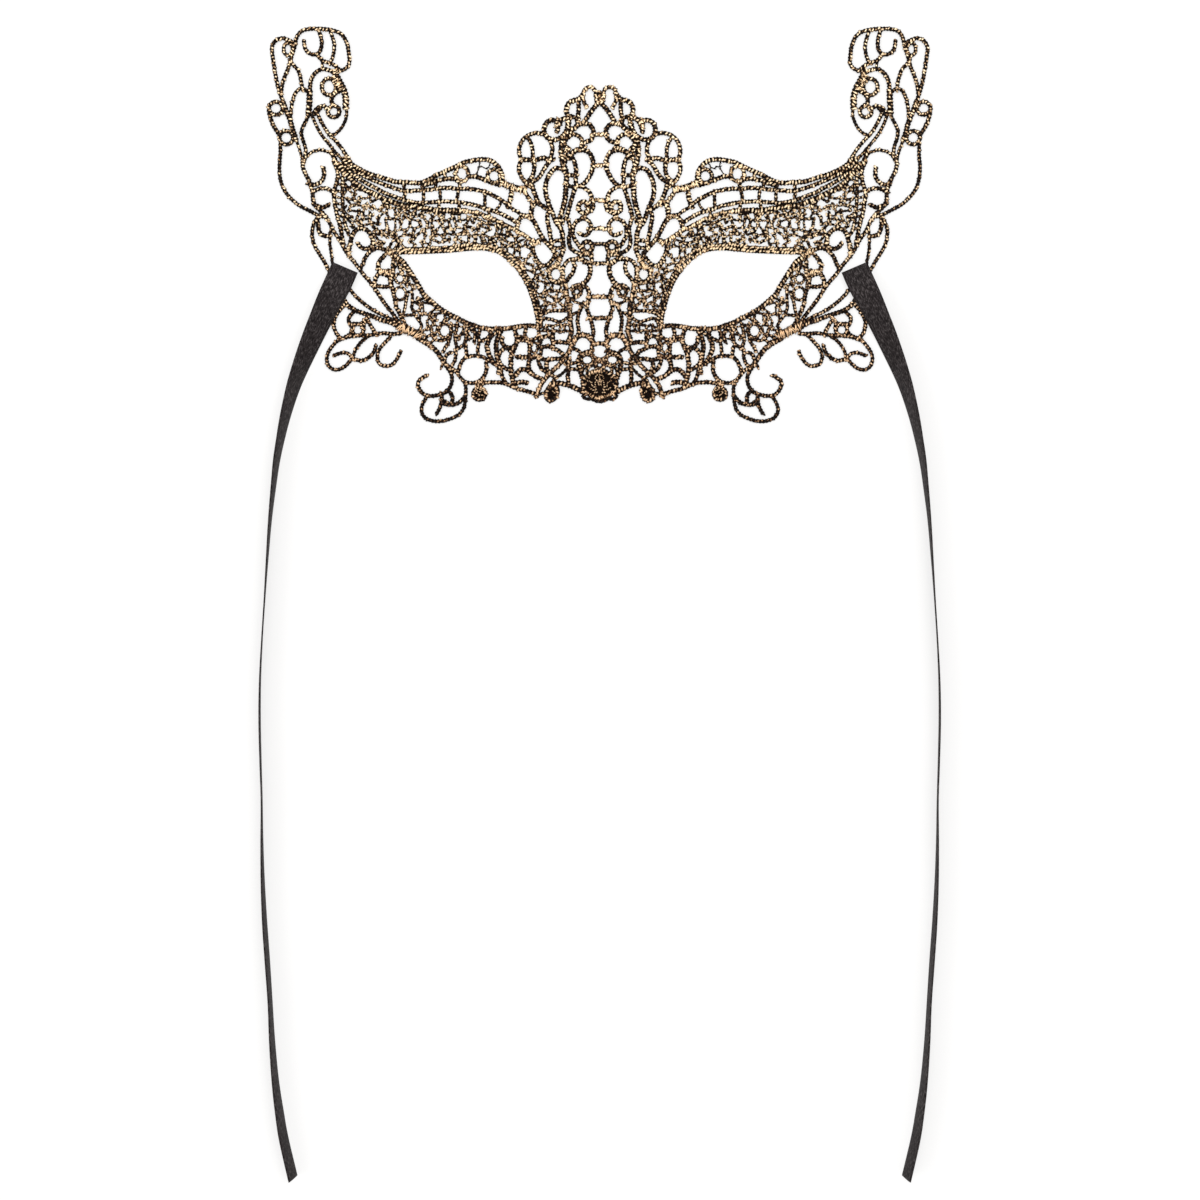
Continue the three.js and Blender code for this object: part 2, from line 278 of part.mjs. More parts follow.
const fan = {
    "fan one": [1.5, [66.4, -34.6, 68.5, -32.4, 71, -31, 73.5, -29.8, 76, -28.4, 78.5, -26.6, 80.6,
        -24.8, 82.6, -22.6, 83.8, -21, 85.6, -18.6]],
    "fan two": [1.9, [66.6, -35, 68.8, -33.2, 72, -32.2, 75, -31, 78, -30, 81, -29, 83, -27.8, 84.6,
        -26.4, 85.2, -25, 86.6, -23]],
    "fan rim": [1.6, [84.6, -26.6, 86, -28, 87.4, -29.8, 88.3, -31.6, 88.6, -33.6, 88.2, -35.4,
        87.3, -37.2, 86.2, -38]],
    "fan three": [1.6, [66.8, -36.6, 69.5, -36.6, 72.5, -36.4, 75, -36.8, 77.6, -37.2, 80, -37.2, 83,
        -37.5, 85, -38, 86.6, -38.6]],
    "big curl": [1.5, [86.8, -38.4, 88.8, -40.4, 90.4, -42.8, 90.9, -45.2, 90.2, -47.4, 88.4, -48.6,
        86.2, -48.3, 84.2, -46.9, 82.6, -45]],
    "curl hook": [1.5, [82.4, -45, 83.2, -43.6, 84.6, -42.9, 86.6, -43.1, 88.3, -43.8]],
    "middle stem": [1.4, [77, -37.4, 79.2, -39, 80.8, -41, 81.8, -43, 82.2, -44.8]],
    "middle curl": [1.6, [82, -44.8, 80.4, -45.5, 78.6, -45.4, 76.8, -44.4, 75.4, -43, 74.8, -41.6,
        74.6, -40.7]],
    "third curl": [1.5, [69.8, -37.6, 71.4, -39.4, 73, -41.2, 74, -43.2, 74, -45.2, 73.2, -46.8, 71.4,
        -47.4, 69.4, -47, 67.8, -45.4, 67, -44, 66.5, -43]],
    "fan inside": [1.6, [82, -29.3, 83.5, -31, 83.7, -32.4, 82.9, -33.8], [77.4, -31.2, 78.4, -32.6,
        79.8, -33.4, 81.6, -33.2, 83, -33.4], [78.6, -32.8, 78.6, -34.6, 78.8, -36.8], [77.6, -31.8,
        76.6, -33.4, 75.6, -35, 74.8, -36.6], [82.4, -35.4, 83.2, -36.8, 84.6, -37.6]],
};
const temple = {
    "temple arch": [1.7, [69.5, -9.6, 71.5, -8.6, 73.6, -8, 75.6, -8.6, 77, -9.8, 78.2, -11.4, 78.7,
        -13, 79.6, -14.6]],
    "temple loop two": [1.9, [75.6, -8, 75.5, -6, 76, -4, 77.4, -2.2, 79, -1.5, 80.8, -1.8, 82.2, -3.3,
        82.9, -5.6, 83.4, -8]],
    "temple curl": [1.8, [75.8, -7, 76.6, -8, 78.4, -8.3, 79.8, -7.6, 80.4, -6.7], [71.8, -10.6, 73,
        -12, 73.9, -13.8, 73.4, -15.4], [73.4, -15.2, 72, -16, 70.4, -15.6]],
    "temple column": [1.7, [68.6, -11.4, 68.9, -14, 68.8, -16.6, 69.4, -18.8, 69.2, -21, 68.6, -23.2,
        68.2, -25.4, 67.8, -27.6, 66.8, -29.6, 66, -31.4]],
    "temple hooks": [1.7, [70, -17.8, 71.6, -16.8, 73.4, -16.6], [73.6, -16.4, 74.6, -18.2, 75, -20],
      [70, -20.8, 72, -21, 74.2, -20.6], [70, -17.6, 69.8, -19.4, 69.6, -21], [67.2, -12, 66.8, -14.2,
        66, -15.8]],
    "temple net": [1.3, [62.4, -23.4, 62.4, -26, 62.6, -28, 61.8, -29.8], [64, -23.8, 64.6, -26, 65,
        -28.4, 65.6, -30.4], [61.6, -30.2, 63.4, -30.4, 65.4, -30.4], [65.6, -30.6, 65.4, -32.4, 64.2,
        -34], [61.6, -30.4, 60.2, -32.2, 59.2, -34, 60.4, -35.6]],
};
const patches = {
    "crown wedge": [2.2, [14, 34.3, 14.2, 32.7]],
    "curl patch": [2.6, [88.2, 48.4, 86.6, 45.4]],
    "satin bar": [2.8, [25.8, 11.3, 28.5, 11.7, 31.5, 12.6, 34, 13.2]],
    "root patch": [2.2, [20.8, -6.2, 22.4, -6.6]],
    "heart patch": [2, [3.4, -9.6, 4.6, -9.6]],
    "ring patch": [2.6, [13.6, -12.2, 14.6, -13.8, 16.8, -15.2]],
    "cheek patch": [2.2, [57, -40, 56, -41]],
    "fan root": [3.6, [61, -37.1, 63, -36, 65.2, -35]],
    "corner patch": [2.4, [68.6, -10.4, 70.2, -9.6]],
    "drop patch": [2, [69.8, -16.6, 71.2, -16, 72.8, -16]],
    "temple patch": [2.2, [83.5, -8, 83.6, -10]],
};
const rings = {
    "curl ring": [1.7, [90.2, 45.6, 2.4, 2.8]],
    "curl ring low": [1.7, [88.6, 37.4, 2, 1.95]],
    "outer eye": [1.5, [103.8, 58.2, 1.5, 2.1]],
    "outer rings": [1.7, [107.9, 38.5, 2.3, 2.2], [104.4, 28.7, 2.3, 2.3]],
    "hump ring": [1.7, [35.2, 15.9, 2.2, 2.3]],
    "hump diamond": [1.8, [45.9, 16.7, 2.2, 2.6]],
    "crown boss": [1.7, [0, 41.4, 1.2, 1.2]],
    "rosette": [2, [5.4, 5.5, 1.7, 1.9]],
    "heart ring": [2, [4.1, -7.6, 1.75, 1.75]],
    "leaf ring": [2, [14.6, -16.8, 2.3, 2.6]],
    "nose diamond": [1.6, [7.6, -22.7, 1.3, 1.45]],
    "tip rings": [1.3, [4.2, -45.3, 2, 1.7]],
    "tip ring low": [1.8, [0, -47, 1.5, 1.35]],
    "medallion": [4.6, [0, -53.8, 2.4, 2.4]],
    "oval ornament": [2, [15.9, -56.4, 1.8, 2.7, 24]],
    "net ring": [1.1, [21.8, -41.2, 1.2, 1.8]],
    "berry": [1.6, [40.1, -56.5, 2.2, 2]],
    "cheek ring": [1.3, [51.6, -35.6, 2, 2.3]],
    "fan ring": [1.5, [80.6, -35.3, 1.9, 1.9]],
    "temple rings": [1.2, [66.6, -18.2, 1.6, 1.6], [66.5, -23.2, 2, 2.2]],
};
const netRegions = {
    "brow ground": [22.5, -7.5, 26.4, -3.2, 34.2, 0.8, 40.8, 3.4, 50, 4.2, 59, 5.1, 67, 6.4, 74.5,
        9.4, 80.5, 12.7, 85, 17, 85.6, 7, 85, 1, 84, -2.5, 81.6, -1.8, 79, -1.3, 76.6, -3, 75.5, -6,
        75.5, -8.2, 73.6, -8, 69.5, -9.8, 61, -9, 50, -8.2, 40.2, -7.3, 36, -8, 32.5, -9.8, 28,
        -13.5, 24.6, -18.6, 22, -24.6, 20.3, -31, 17, -29.2, 10.2, -28.8, 10.6, -25, 11.5, -20.4,
        12.2, -18.6, 14.6, -19.5, 16.9, -17, 18.5, -14.1, 20, -13.2, 21.8, -10.6, 22.3, -8],
    "ladder ground": [85.4, 18.8, 87.4, 18.4, 87.2, 16, 88.5, 10.6, 88, 5.6, 86.8, 0.6, 85.6, -5.5,
        84.2, -2, 85, 1, 85.6, 7, 85.5, 16],
    "nose ground": [9.9, -33.6, 12.8, -32.8, 14.6, -32.6, 15.5, -34.2, 19.4, -34.2, 19, -35.2, 12,
        -36, 9.5, -36.2],
    "temple ground": [68.4, -11, 65.6, -12.6, 61.8, -18.2, 58.6, -23.6, 53.8, -27.8, 51, -29.7,
        49.6, -33.6, 53.4, -33.6, 53.6, -37.6, 50, -38, 51.4, -41, 54, -42.6, 58, -39.6, 60.4,
        -37.8, 60.2, -35.4, 59.2, -34, 60.2, -32.2, 61.8, -29.8, 62.6, -28, 62.4, -23.4, 64, -23.8,
        64.8, -20.5, 65, -18, 66, -16, 68.8, -15],
    "cheek ground": [40.4, -35.4, 44, -34, 49.4, -32.4, 49.6, -36, 48, -38, 48, -39.4, 47.6, -41.2,
        44.8, -41, 44.4, -38, 42, -39.4, 40.3, -39.4],
};

// The ribbon's middle line on the right side: x, y, z, then its roll in degrees, 0 lying flat, 90 on edge.
const ribbonRoute = [
  [84.7, -14.6, 2.4, 0], [86.1, -17.9, 2.5, 4], [87.6, -21.3, 3.1, 15], [90.1, -26.7, 4.3, 31],
  [92.4, -32, 4.9, 40.5], [94.8, -37.3, 4.6, 47.5], [97.1, -42.7, 4.5, 53.5], [99.2, -48, 4.6, 59.5],
  [101.1, -53.3, 4.7, 65.5], [102.7, -58.7, 4.8, 71], [104.4, -65.3, 4.8, 76], [105.8, -72, 4.8, 79.5],
  [107, -78.7, 4.8, 82], [107.8, -85.3, 4.8, 85], [109.2, -98.7, 4.8, 90], [110.2, -112, 4.8, 93],
  [111.1, -125.3, 4.8, 94.5], [112, -138.7, 4.8, 95], [112.6, -152, 4.8, 94.5],
  [112.7, -165.3, 4.8, 94], [112.4, -178.7, 4.8, 94], [112, -192, 4.8, 93.5], [111.9, -205.3, 4.8, 91],
  [111.6, -218.7, 4.8, 89], [111, -232, 4.8, 87.5], [110.1, -245.3, 4.8, 87], [109.2, -258.7, 4.8, 87],
  [108.5, -272, 4.8, 84.5], [107.4, -285.3, 4.8, 82.5], [106, -296, 4.8, 80],
  [104.6, -304.5, 4.8, 78.5], [101.6, -317.4, 4.8, 77],
];
const ribbonSteps = 32;

const finishes = {
  lace: new THREE.MeshStandardMaterial({ color: 0x8a6a42, roughness: 0.5, metalness: 0.35 }),
  ribbon: new THREE.MeshStandardMaterial({ color: 0x2b2829, roughness: 0.45, metalness: 0 }),
};

const wasm = await Module();
wasm.setup();

function toPoints(flat) {
  const points = [];
  for (let i = 0; i < flat.length; i += 2) {
    points.push(new THREE.Vector2(flat[i], flat[i + 1] + patternLift));
  }
  return points;
}

// A smooth line through hand-set points
function smooth(flat) {
  const points = toPoints(flat);
  if (points.length === 2) return points;
  const curve = new THREE.SplineCurve(points);
  return thin(curve.getPoints(Math.ceil(curve.getLength() / splineStep)), curveTolerance);
}

// Drops the points of an open line that stand less than the tolerance off it
function thin(points, tolerance) {
  if (points.length < 3) return points;
  const first = points[0];
  const last = points[points.length - 1];
  const along = last.clone().sub(first);
  const length = along.length();
  let far = 0;
  let farthest = 0;
  for (let i = 1; i < points.length - 1; i += 1) {
    const offset = points[i].clone().sub(first);
    const distance = length > 0 ? Math.abs(along.cross(offset)) / length : offset.length();
    if (distance > farthest) {
      farthest = distance;
      far = i;
    }
  }
  if (farthest <= tolerance) return [first, last];
  return [...thin(points.slice(0, far + 1), tolerance).slice(0, -1), ...thin(points.slice(far), tolerance)];
}

function crossesItself(loop) {
  const turn = (a, b, c) => Math.sign((b.x - a.x) * (c.y - a.y) - (b.y - a.y) * (c.x - a.x));
  const last = loop.length - 1;
  return loop.some((a, i) => loop.some((c, j) => {
    if (j <= i + 1 || (i === 0 && j === last)) return false;
    const [b, d] = [loop[i + 1], loop[j === last ? 0 : j + 1]];
    return turn(a, b, c) !== turn(a, b, d) && turn(c, d, a) !== turn(c, d, b);
  }));
}

// A closed line is thinned in two halves, from its first point to the farthest, and never so far
// that it crosses itself
function thinLoop(loop, tolerance) {
  let far = 0;
  loop.forEach((point, i) => {
    if (point.distanceTo(loop[0]) > loop[far].distanceTo(loop[0])) far = i;
  });
  const out = thin(loop.slice(0, far + 1), tolerance);
  const back = thin([...loop.slice(far), loop[0]], tolerance);
  const thinned = [...out.slice(0, -1), ...back.slice(0, -1)];
  return crossesItself(thinned) ? thinLoop(loop, tolerance / 2) : thinned;
}

// A line made longer at both ends, so that a cord runs into the one it meets
function reach(line, width) {
  const grown = (end, beside) => end.clone().add(end.clone().sub(beside).setLength(width * endReach));
  const last = line.length - 1;
  return [grown(line[0], line[1]), ...line.slice(1, -1), grown(line[last], line[last - 1])];
}

// The outline of a cord of even width along a line, mitred at its bends
function cordShape(line, width) {
  const left = [];
  const right = [];
  line.forEach((point, i) => {
    const before = line[Math.max(i - 1, 0)];
    const after = line[Math.min(i + 1, line.length - 1)];
    const incoming = i > 0 ? point.clone().sub(before).normalize() : after.clone().sub(point).normalize();
    const outgoing = i < line.length - 1 ? after.clone().sub(point).normalize() : incoming;
    const along = incoming.clone().add(outgoing).normalize();
    const mitre = Math.max(along.dot(outgoing), sharpestMitre);
    const across = new THREE.Vector2(-along.y, along.x).multiplyScalar(width / 2 / mitre);
    left.push(point.clone().add(across));
    right.unshift(point.clone().sub(across));
  });
  return new THREE.Shape([...left, ...right]);
}

// A ring's width is laid half inside and half outside its oval; lean turns the oval, in degrees.
function ringShape([x, y, radiusX, radiusY, lean = 0], width) {
  const shape = new THREE.Shape();
  const turn = (lean * Math.PI) / 180;
  const outside = [radiusX + width / 2, radiusY + width / 2];
  shape.absellipse(x, y + patternLift, ...outside, 0, Math.PI * 2, false, turn);
  const inside = [radiusX - width / 2, radiusY - width / 2];
  if (Math.min(...inside) > width * smallestEye) {
    const hole = new THREE.Path();
    hole.absellipse(x, y + patternLift, ...inside, 0, Math.PI * 2, false, turn);
    shape.holes.push(hole);
  }
  return shape;
}

function slab(shape) {
  const settings = { depth: laceThickness, bevelEnabled: false, curveSegments: ringSides };
  return new THREE.ExtrudeGeometry(shape, settings);
}

function toSolid(geometry) {
  geometry.deleteAttribute('normal');
  geometry.deleteAttribute('uv');
  const merged = mergeVertices(geometry, weldDistance);
  return new wasm.Manifold(new wasm.Mesh({
    numProp: 3,
    vertProperties: merged.attributes.position.array,
    triVerts: Uint32Array.from(merged.index.array),
  }));
}

function joinAll(solids) {
  while (solids.length > 1) {
    const pairs = [];
    for (let i = 0; i < solids.length; i += 2) {
      pairs.push(i + 1 < solids.length ? solids[i].add(solids[i + 1]) : solids[i]);
    }
    solids = pairs;
  }
  return solids[0];
}

function inside(region, x, y) {
  let within = false;
  for (let i = 0, j = region.length - 2; i < region.length; j = i, i += 2) {
    const [ax, ay, bx, by] = [region[i], region[i + 1], region[j], region[j + 1]];
    const crosses = ay > y !== by > y;
    if (crosses && x < ax + ((bx - ax) * (y - ay)) / (by - ay)) within = !within;
  }
  return within;
}

// The ground net as a panel with staggered rows of lozenge holes, wherever one fits with its margin
function netShape(region) {
  const shape = new THREE.Shape(toPoints(region));
  const corners = [[1, 0], [0, 1], [-1, 0], [0, -1]];
  const room = netHole * netMargin;
  const xs = region.filter((value, i) => i % 2 === 0);
  const ys = region.filter((value, i) => i % 2 === 1);
  let shift = 0;
  for (let y = Math.min(...ys); y < Math.max(...ys); y += netPitch / 2) {
    for (let x = Math.min(...xs) + shift; x < Math.max(...xs); x += netPitch) {
      if (corners.every(([u, v]) => inside(region, x + u * room, y + v * room))) {
        const lozenge = corners.flatMap(([u, v]) => [x + (u * netHole) / 2, y + (v * netHole) / 2]);
        shape.holes.push(new THREE.Path(toPoints(lozenge)));
      }
    }
    shift = netPitch / 2 - shift;
  }
  return shape;
}

function cordSolids() {
  const solids = [];
  const motifs = [
    wingTip, wingSide, brow, eyeRim, crown, bridge, nose, noseTip, cheek, lowCurls, fan, temple, patches,
  ];
  for (const [width, ...routes] of motifs.flatMap((motif) => Object.values(motif))) {
    if (width < thinnestCord) continue;
    for (const route of routes) solids.push(toSolid(slab(cordShape(reach(smooth(route), width), width))));
  }
  for (const [width, ...circles] of Object.values(rings)) {
    for (const circle of circles) solids.push(toSolid(slab(ringShape(circle, width))));
  }
  for (const region of Object.values(netRegions)) solids.push(toSolid(slab(netShape(region))));
  return solids;
}

// The closed lines around the top face of a flat solid, material on their left
function topLoops(solid) {
  const mesh = solid.getMesh();
  const corner = (i) => mesh.vertProperties.slice(i * mesh.numProp, i * mesh.numProp + 3);
  const next = new Map();
  const edges = new Set();
  for (let i = 0; i < mesh.triVerts.length; i += 3) {
    const triangle = [...mesh.triVerts.slice(i, i + 3)];
    if (!triangle.every((vertex) => corner(vertex)[2] > laceThickness / 2)) continue;
    triangle.forEach((vertex, k) => edges.add(`${vertex},${triangle[(k + 1) % 3]}`));
  }
  for (const edge of edges) {
    const [a, b] = edge.split(',').map(Number);
    if (edges.has(`${b},${a}`)) continue;
    if (!next.has(a)) next.set(a, []);
    next.get(a).push(b);
  }
  const loops = [];
  for (const start of next.keys()) {
    while (next.get(start).length > 0) {
      const loop = [];
      let at = start;
      do {
        const [x, y] = corner(at);
        loop.push(new THREE.Vector2(x, y));
        at = next.get(at).pop();
      } while (at !== start && at !== undefined);
      loops.push(loop);
    }
  }
  return loops;
}

function mirrored(geometry) {
  const copy = geometry.clone();
  copy.scale(-1, 1, 1);
  const order = copy.index.array;
  for (let i = 0; i < order.length; i += 3) [order[i], order[i + 1]] = [order[i + 1], order[i]];
  return copy;
}

function toGeometry(solid) {
  const mesh = solid.getMesh();
  const geometry = new THREE.BufferGeometry();
  geometry.setAttribute('position', new THREE.BufferAttribute(mesh.vertProperties, 3));
  geometry.setIndex([...mesh.triVerts]);
  return geometry;
}

// A hole's cutter reaches past both faces and is drawn in a little, so that no two holes touch at a point
function holeCutter(loop) {
  const middle = loop.reduce((sum, point) => sum.add(point), new THREE.Vector2()).divideScalar(loop.length);
  const shape = new THREE.Shape(loop.map((point) => point.clone().lerp(middle, holeShrink)));
  const geometry = new THREE.ExtrudeGeometry(shape, { depth: laceThickness * 3, bevelEnabled: false });
  return toSolid(geometry.translate(0, 0, -laceThickness));
}

// Both halves joined, then drawn again from the fewest points that keep the outline and the holes
function laceGeometry() {
  const half = joinAll(cordSolids());
  const whole = half.add(toSolid(mirrored(toGeometry(half))));
  const loops = topLoops(whole).map((loop) => thinLoop(loop, outlineTolerance));
  const area = THREE.ShapeUtils.area;
  const outline = loops.reduce((largest, loop) => (area(loop) > area(largest) ? loop : largest));
  const holes = loops.filter((loop) => area(loop) < -smallestHole);
  return toGeometry(toSolid(slab(new THREE.Shape(outline))).subtract(joinAll(holes.map(holeCutter))));
}

// A flat strip swept along its route, turned about its middle line by the roll
function ribbonGeometry() {
  const middles = ribbonRoute.map(([x, y, z]) => new THREE.Vector3(x, y + patternLift, z));
  const line = new THREE.CatmullRomCurve3(middles);
  const rolls = new THREE.CatmullRomCurve3(ribbonRoute.map((row) => new THREE.Vector3(row[3], 0, 0)));
  const positions = [];
  const faces = [];
  for (let step = 0; step <= ribbonSteps; step += 1) {
    const share = step / ribbonSteps;
    const middle = line.getPoint(share);
    const along = line.getTangent(share);
    const roll = THREE.MathUtils.degToRad(rolls.getPoint(share).x);
    const outward = new THREE.Vector3(-along.y, along.x, 0).normalize();
    const up = new THREE.Vector3().crossVectors(along, outward).multiplyScalar(-1);
    if (up.z < 0) up.negate();
    const across = outward.clone().multiplyScalar(Math.cos(roll)).addScaledVector(up, -Math.sin(roll));
    const face = outward.clone().multiplyScalar(Math.sin(roll)).addScaledVector(up, Math.cos(roll));
    for (const [u, v] of [[-1, -1], [1, -1], [1, 1], [-1, 1]]) {
      const point = middle.clone().addScaledVector(across, (u * ribbonWidth) / 2);
      point.addScaledVector(face, (v * ribbonThickness) / 2);
      if (step === ribbonSteps) point.addScaledVector(along, u * ribbonEndSlant);
      positions.push(point.x, point.y, point.z);
    }
  }
  for (let step = 0; step < ribbonSteps; step += 1) {
    for (let k = 0; k < 4; k += 1) {
      const [a, b] = [step * 4 + k, step * 4 + ((k + 1) % 4)];
      // The two broad faces are split along the same diagonal, or they would cross where the ribbon twists
      if (k === 2) faces.push(a, b, b + 4, a, b + 4, a + 4);
      else faces.push(a, b, a + 4, b, b + 4, a + 4);
    }
  }
  const end = ribbonSteps * 4;
  faces.push(0, 2, 1, 0, 3, 2, end, end + 1, end + 2, end, end + 2, end + 3);
  const geometry = new THREE.BufferGeometry();
  geometry.setAttribute('position', new THREE.Float32BufferAttribute(positions, 3));
  geometry.setIndex(faces);
  return geometry;
}

function named(name, geometry, material) {
  const mesh = new THREE.Mesh(geometry, material);
  mesh.name = name;
  return mesh;
}

const mask = new THREE.Group();
const rightRibbon = ribbonGeometry();
mask.add(named('lace', laceGeometry(), finishes.lace));
mask.add(named('ribbon_right', rightRibbon, finishes.ribbon));
mask.add(named('ribbon_left', mirrored(rightRibbon), finishes.ribbon));

export default mask;
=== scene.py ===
"""The looks of a lace masquerade mask that lies face up, with its two satin ribbons drawn straight down."""
import itertools
import math
import random

import bpy
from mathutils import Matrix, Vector


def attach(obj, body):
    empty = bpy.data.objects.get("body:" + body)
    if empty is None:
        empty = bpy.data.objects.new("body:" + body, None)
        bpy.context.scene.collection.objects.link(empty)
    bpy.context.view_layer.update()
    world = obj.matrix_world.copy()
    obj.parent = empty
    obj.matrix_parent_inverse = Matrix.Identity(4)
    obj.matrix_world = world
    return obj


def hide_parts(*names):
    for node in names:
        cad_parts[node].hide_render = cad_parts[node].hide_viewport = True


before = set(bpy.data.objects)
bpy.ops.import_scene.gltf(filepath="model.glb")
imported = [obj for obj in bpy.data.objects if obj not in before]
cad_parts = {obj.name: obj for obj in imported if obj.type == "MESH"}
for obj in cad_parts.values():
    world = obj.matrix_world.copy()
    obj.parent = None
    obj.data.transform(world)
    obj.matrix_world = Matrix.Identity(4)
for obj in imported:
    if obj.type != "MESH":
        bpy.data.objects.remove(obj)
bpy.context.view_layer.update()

MM = 0.001
# The traced pattern's own zero lies this far below the middle of the lace's outline
PATTERN_LIFT = 0.39

# The ribbon, in millimetres. A woven strip never lies quite flat: this one is cupped, and it ripples
# through this many radians from end to end, a little out of step between its edges
RIBBON_WIDTH = 9.2
RIBBON_THICKNESS = 0.34
RIBBON_END_SLANT = 0.2
RIBBON_CUP = 0.22
RIPPLE_HEIGHT = 0.05
RIPPLE_ANGLE = 40
RIPPLE_SHEAR = 2
RIBBON_ROWS = 240
RIBBON_ACROSS = 8
# The ribbon's middle line on the right side: x, y, z in millimetres, then its roll in degrees
RIBBON_ROUTE = [
    (84.7, -14.6, 2.4, 0), (86.1, -17.9, 2.5, 4), (87.6, -21.3, 3.1, 15), (90.1, -26.7, 4.3, 31),
    (92.4, -32, 4.9, 40.5), (94.8, -37.3, 4.6, 47.5), (97.1, -42.7, 4.5, 53.5), (99.2, -48, 4.6, 59.5),
    (101.1, -53.3, 4.7, 65.5), (102.7, -58.7, 4.8, 71), (104.4, -65.3, 4.8, 76),
    (105.8, -72, 4.8, 79.5), (107, -78.7, 4.8, 82), (107.8, -85.3, 4.8, 85), (109.2, -98.7, 4.8, 90),
    (110.2, -112, 4.8, 93), (111.1, -125.3, 4.8, 94.5), (112, -138.7, 4.8, 95),
    (112.6, -152, 4.8, 94.5), (112.7, -165.3, 4.8, 94), (112.4, -178.7, 4.8, 94),
    (112, -192, 4.8, 93.5), (111.9, -205.3, 4.8, 91), (111.6, -218.7, 4.8, 89), (111, -232, 4.8, 87.5),
    (110.1, -245.3, 4.8, 87), (109.2, -258.7, 4.8, 87), (108.5, -272, 4.8, 84.5),
    (107.4, -285.3, 4.8, 82.5), (106, -296, 4.8, 80), (104.6, -304.5, 4.8, 78.5),
    (101.6, -317.4, 4.8, 77),
]

# How a cord is wound, in millimetres: the pitch of its turns of gold, half the width of a turn's thread,
# the turns' slant in degrees, how much the core swells between them, and how far a turn strays
WINDINGS = {
    "open": (1.08, 0.37, 34, 0.38, 0.27),
    "rim": (1.0, 0.4, 36, 0.22, 0.34),
    "net": (0.86, 0.28, 34, 0.38, 0.27),
    "close": (0.86, 0.4, 24, 0.08, 0.27),
    "ring": (1.0, 0.37, 34, 0.38, 0.27),
    "satin": (0.5, 0.27, 6, 0.08, 0.27),
    "loop": (0.62, 0.26, 34, 0.38, 0.04),
}
# A cord's height grows with its width, up to the lace's own thickness
LOWEST_CORD = 0.45
CORD_RISE = 0.62
LACE_THICKNESS = 1.75
CORD_CLEARANCE = 0.02
# The core's width as a share of its cord's, and how much flatter than the cord it is
CORE_SHARE = 0.71
CORE_FLATNESS = 0.8
# The thread of one turn takes up this share of the turn's radius
TURN_THREAD = 0.42
# A turn's half width as a share of its cord's width, its random lean in radians, and what is added to
# a piece's seed for the way its turns stray
TURN_SIZES = (0.44, 0.58)
TURN_LEAN = (0.0, 0.6, 0.55)
STRAY_SEED = 20.0
# A line reaches past its ends by this share of its cord's width, and has a point about every step
END_REACH = 0.35
CURVE_STEP = 0.45
RING_POINTS = 20

# The ground net: the width of its meshes, how far its knots stray as a share of a mesh's side, the width
# of its threads and how that varies, and the share of threads missing, smaller on the nose's side
NET_SEED = 7
NET_CELL = 2.7
NET_ROWS = range(-16, 10)
NET_COLUMNS = range(34)
NET_STRAY = 0.72
NET_WIDTH = 0.93
NET_SPREAD = (0.75, 1.4)
NET_TONE = 0.45
NET_GAPS = 0.2
NOSE_LINE = 36
NOSE_GAPS = NET_GAPS / 3
KNOT_SHARE = 0.5
KNOT_REACH = 0.55
KNOT_WIDTH = 1.6
KNOT_TONE = 0.66
# The ladder's rungs, from the top one down
RUNG_WIDTH = 1.1
RUNG_PITCH = 2.1
RUNG_TOP = 17.5
RUNG_LOW = -2.4
RUNG_SLOPE = 0.5

# The domes under the ornaments, in millimetres: x, y, two radii, lean in degrees and height
DOMES = [(0, -53.8, 5.0, 4.4, 0, 1.1), (15.9, -56.4, 1.3, 2.3, 24, 0.9), (40.1, -56.6, 2.1, 2.1, 0, 0.8)]
DOME_ROWS = 4
DOME_RIM = 0.25
DOME_FOOT = 0.05
ORNAMENT_LIFT = 0.8

# The studio, in metres and watts: each light is its name, place, size and power
FLOOR_REACH = 4.0
FLOOR_DEPTH = 0.0001
VIEW_WIDTH = 0.4
VIEW_MIDDLE = (0.0001, -0.1249)
LIGHTS = (("overhead softbox", (0.3, 0.5, 2.2), 1.6, 28), ("side softbox", (-1.6, -0.6, 1.6), 1.2, 12))
SKY_STRENGTH = 0.92

# The rim above the eye is two cords side by side, each this far from one line, in millimetres. The line
# runs from the temple to the nose, as x,y pairs, and turns down beside the nose at the point named here
RIM_APART = 0.62
RIM_TURN = 10
RIM_LINE = [
    69.2,-10.2, 66,-9, 61,-8.9, 56,-8.7, 50,-8.4, 45,-7.9, 40.2,-7.6, 36.4,-8, 33,-9.1, 29.4,-11.8,
    26.5,-14.9, 24.4,-18.3, 22.9,-21.4, 21.8,-24.5, 21,-27.4, 20.4,-30, 20,-32.6, 20.2,-34.2,
]


def beside(flat, distance):
    """The line this far to the left of a line of x,y pairs, to a tenth of a millimetre"""
    points = list(zip(flat[::2], flat[1::2]))
    moved = []
    for i, (x, y) in enumerate(points):
        before, after = points[max(i - 1, 0)], points[min(i + 1, len(points) - 1)]
        way = math.atan2(after[1] - before[1], after[0] - before[0])
        moved += [round(x - math.sin(way) * distance, 1), round(y + math.cos(way) * distance, 1)]
    return moved


rim_inside, rim_outside = beside(RIM_LINE, RIM_APART), beside(RIM_LINE, -RIM_APART)
ABOVE_EYE, BY_NOSE = slice(0, 2 * RIM_TURN + 2), slice(2 * RIM_TURN, None)

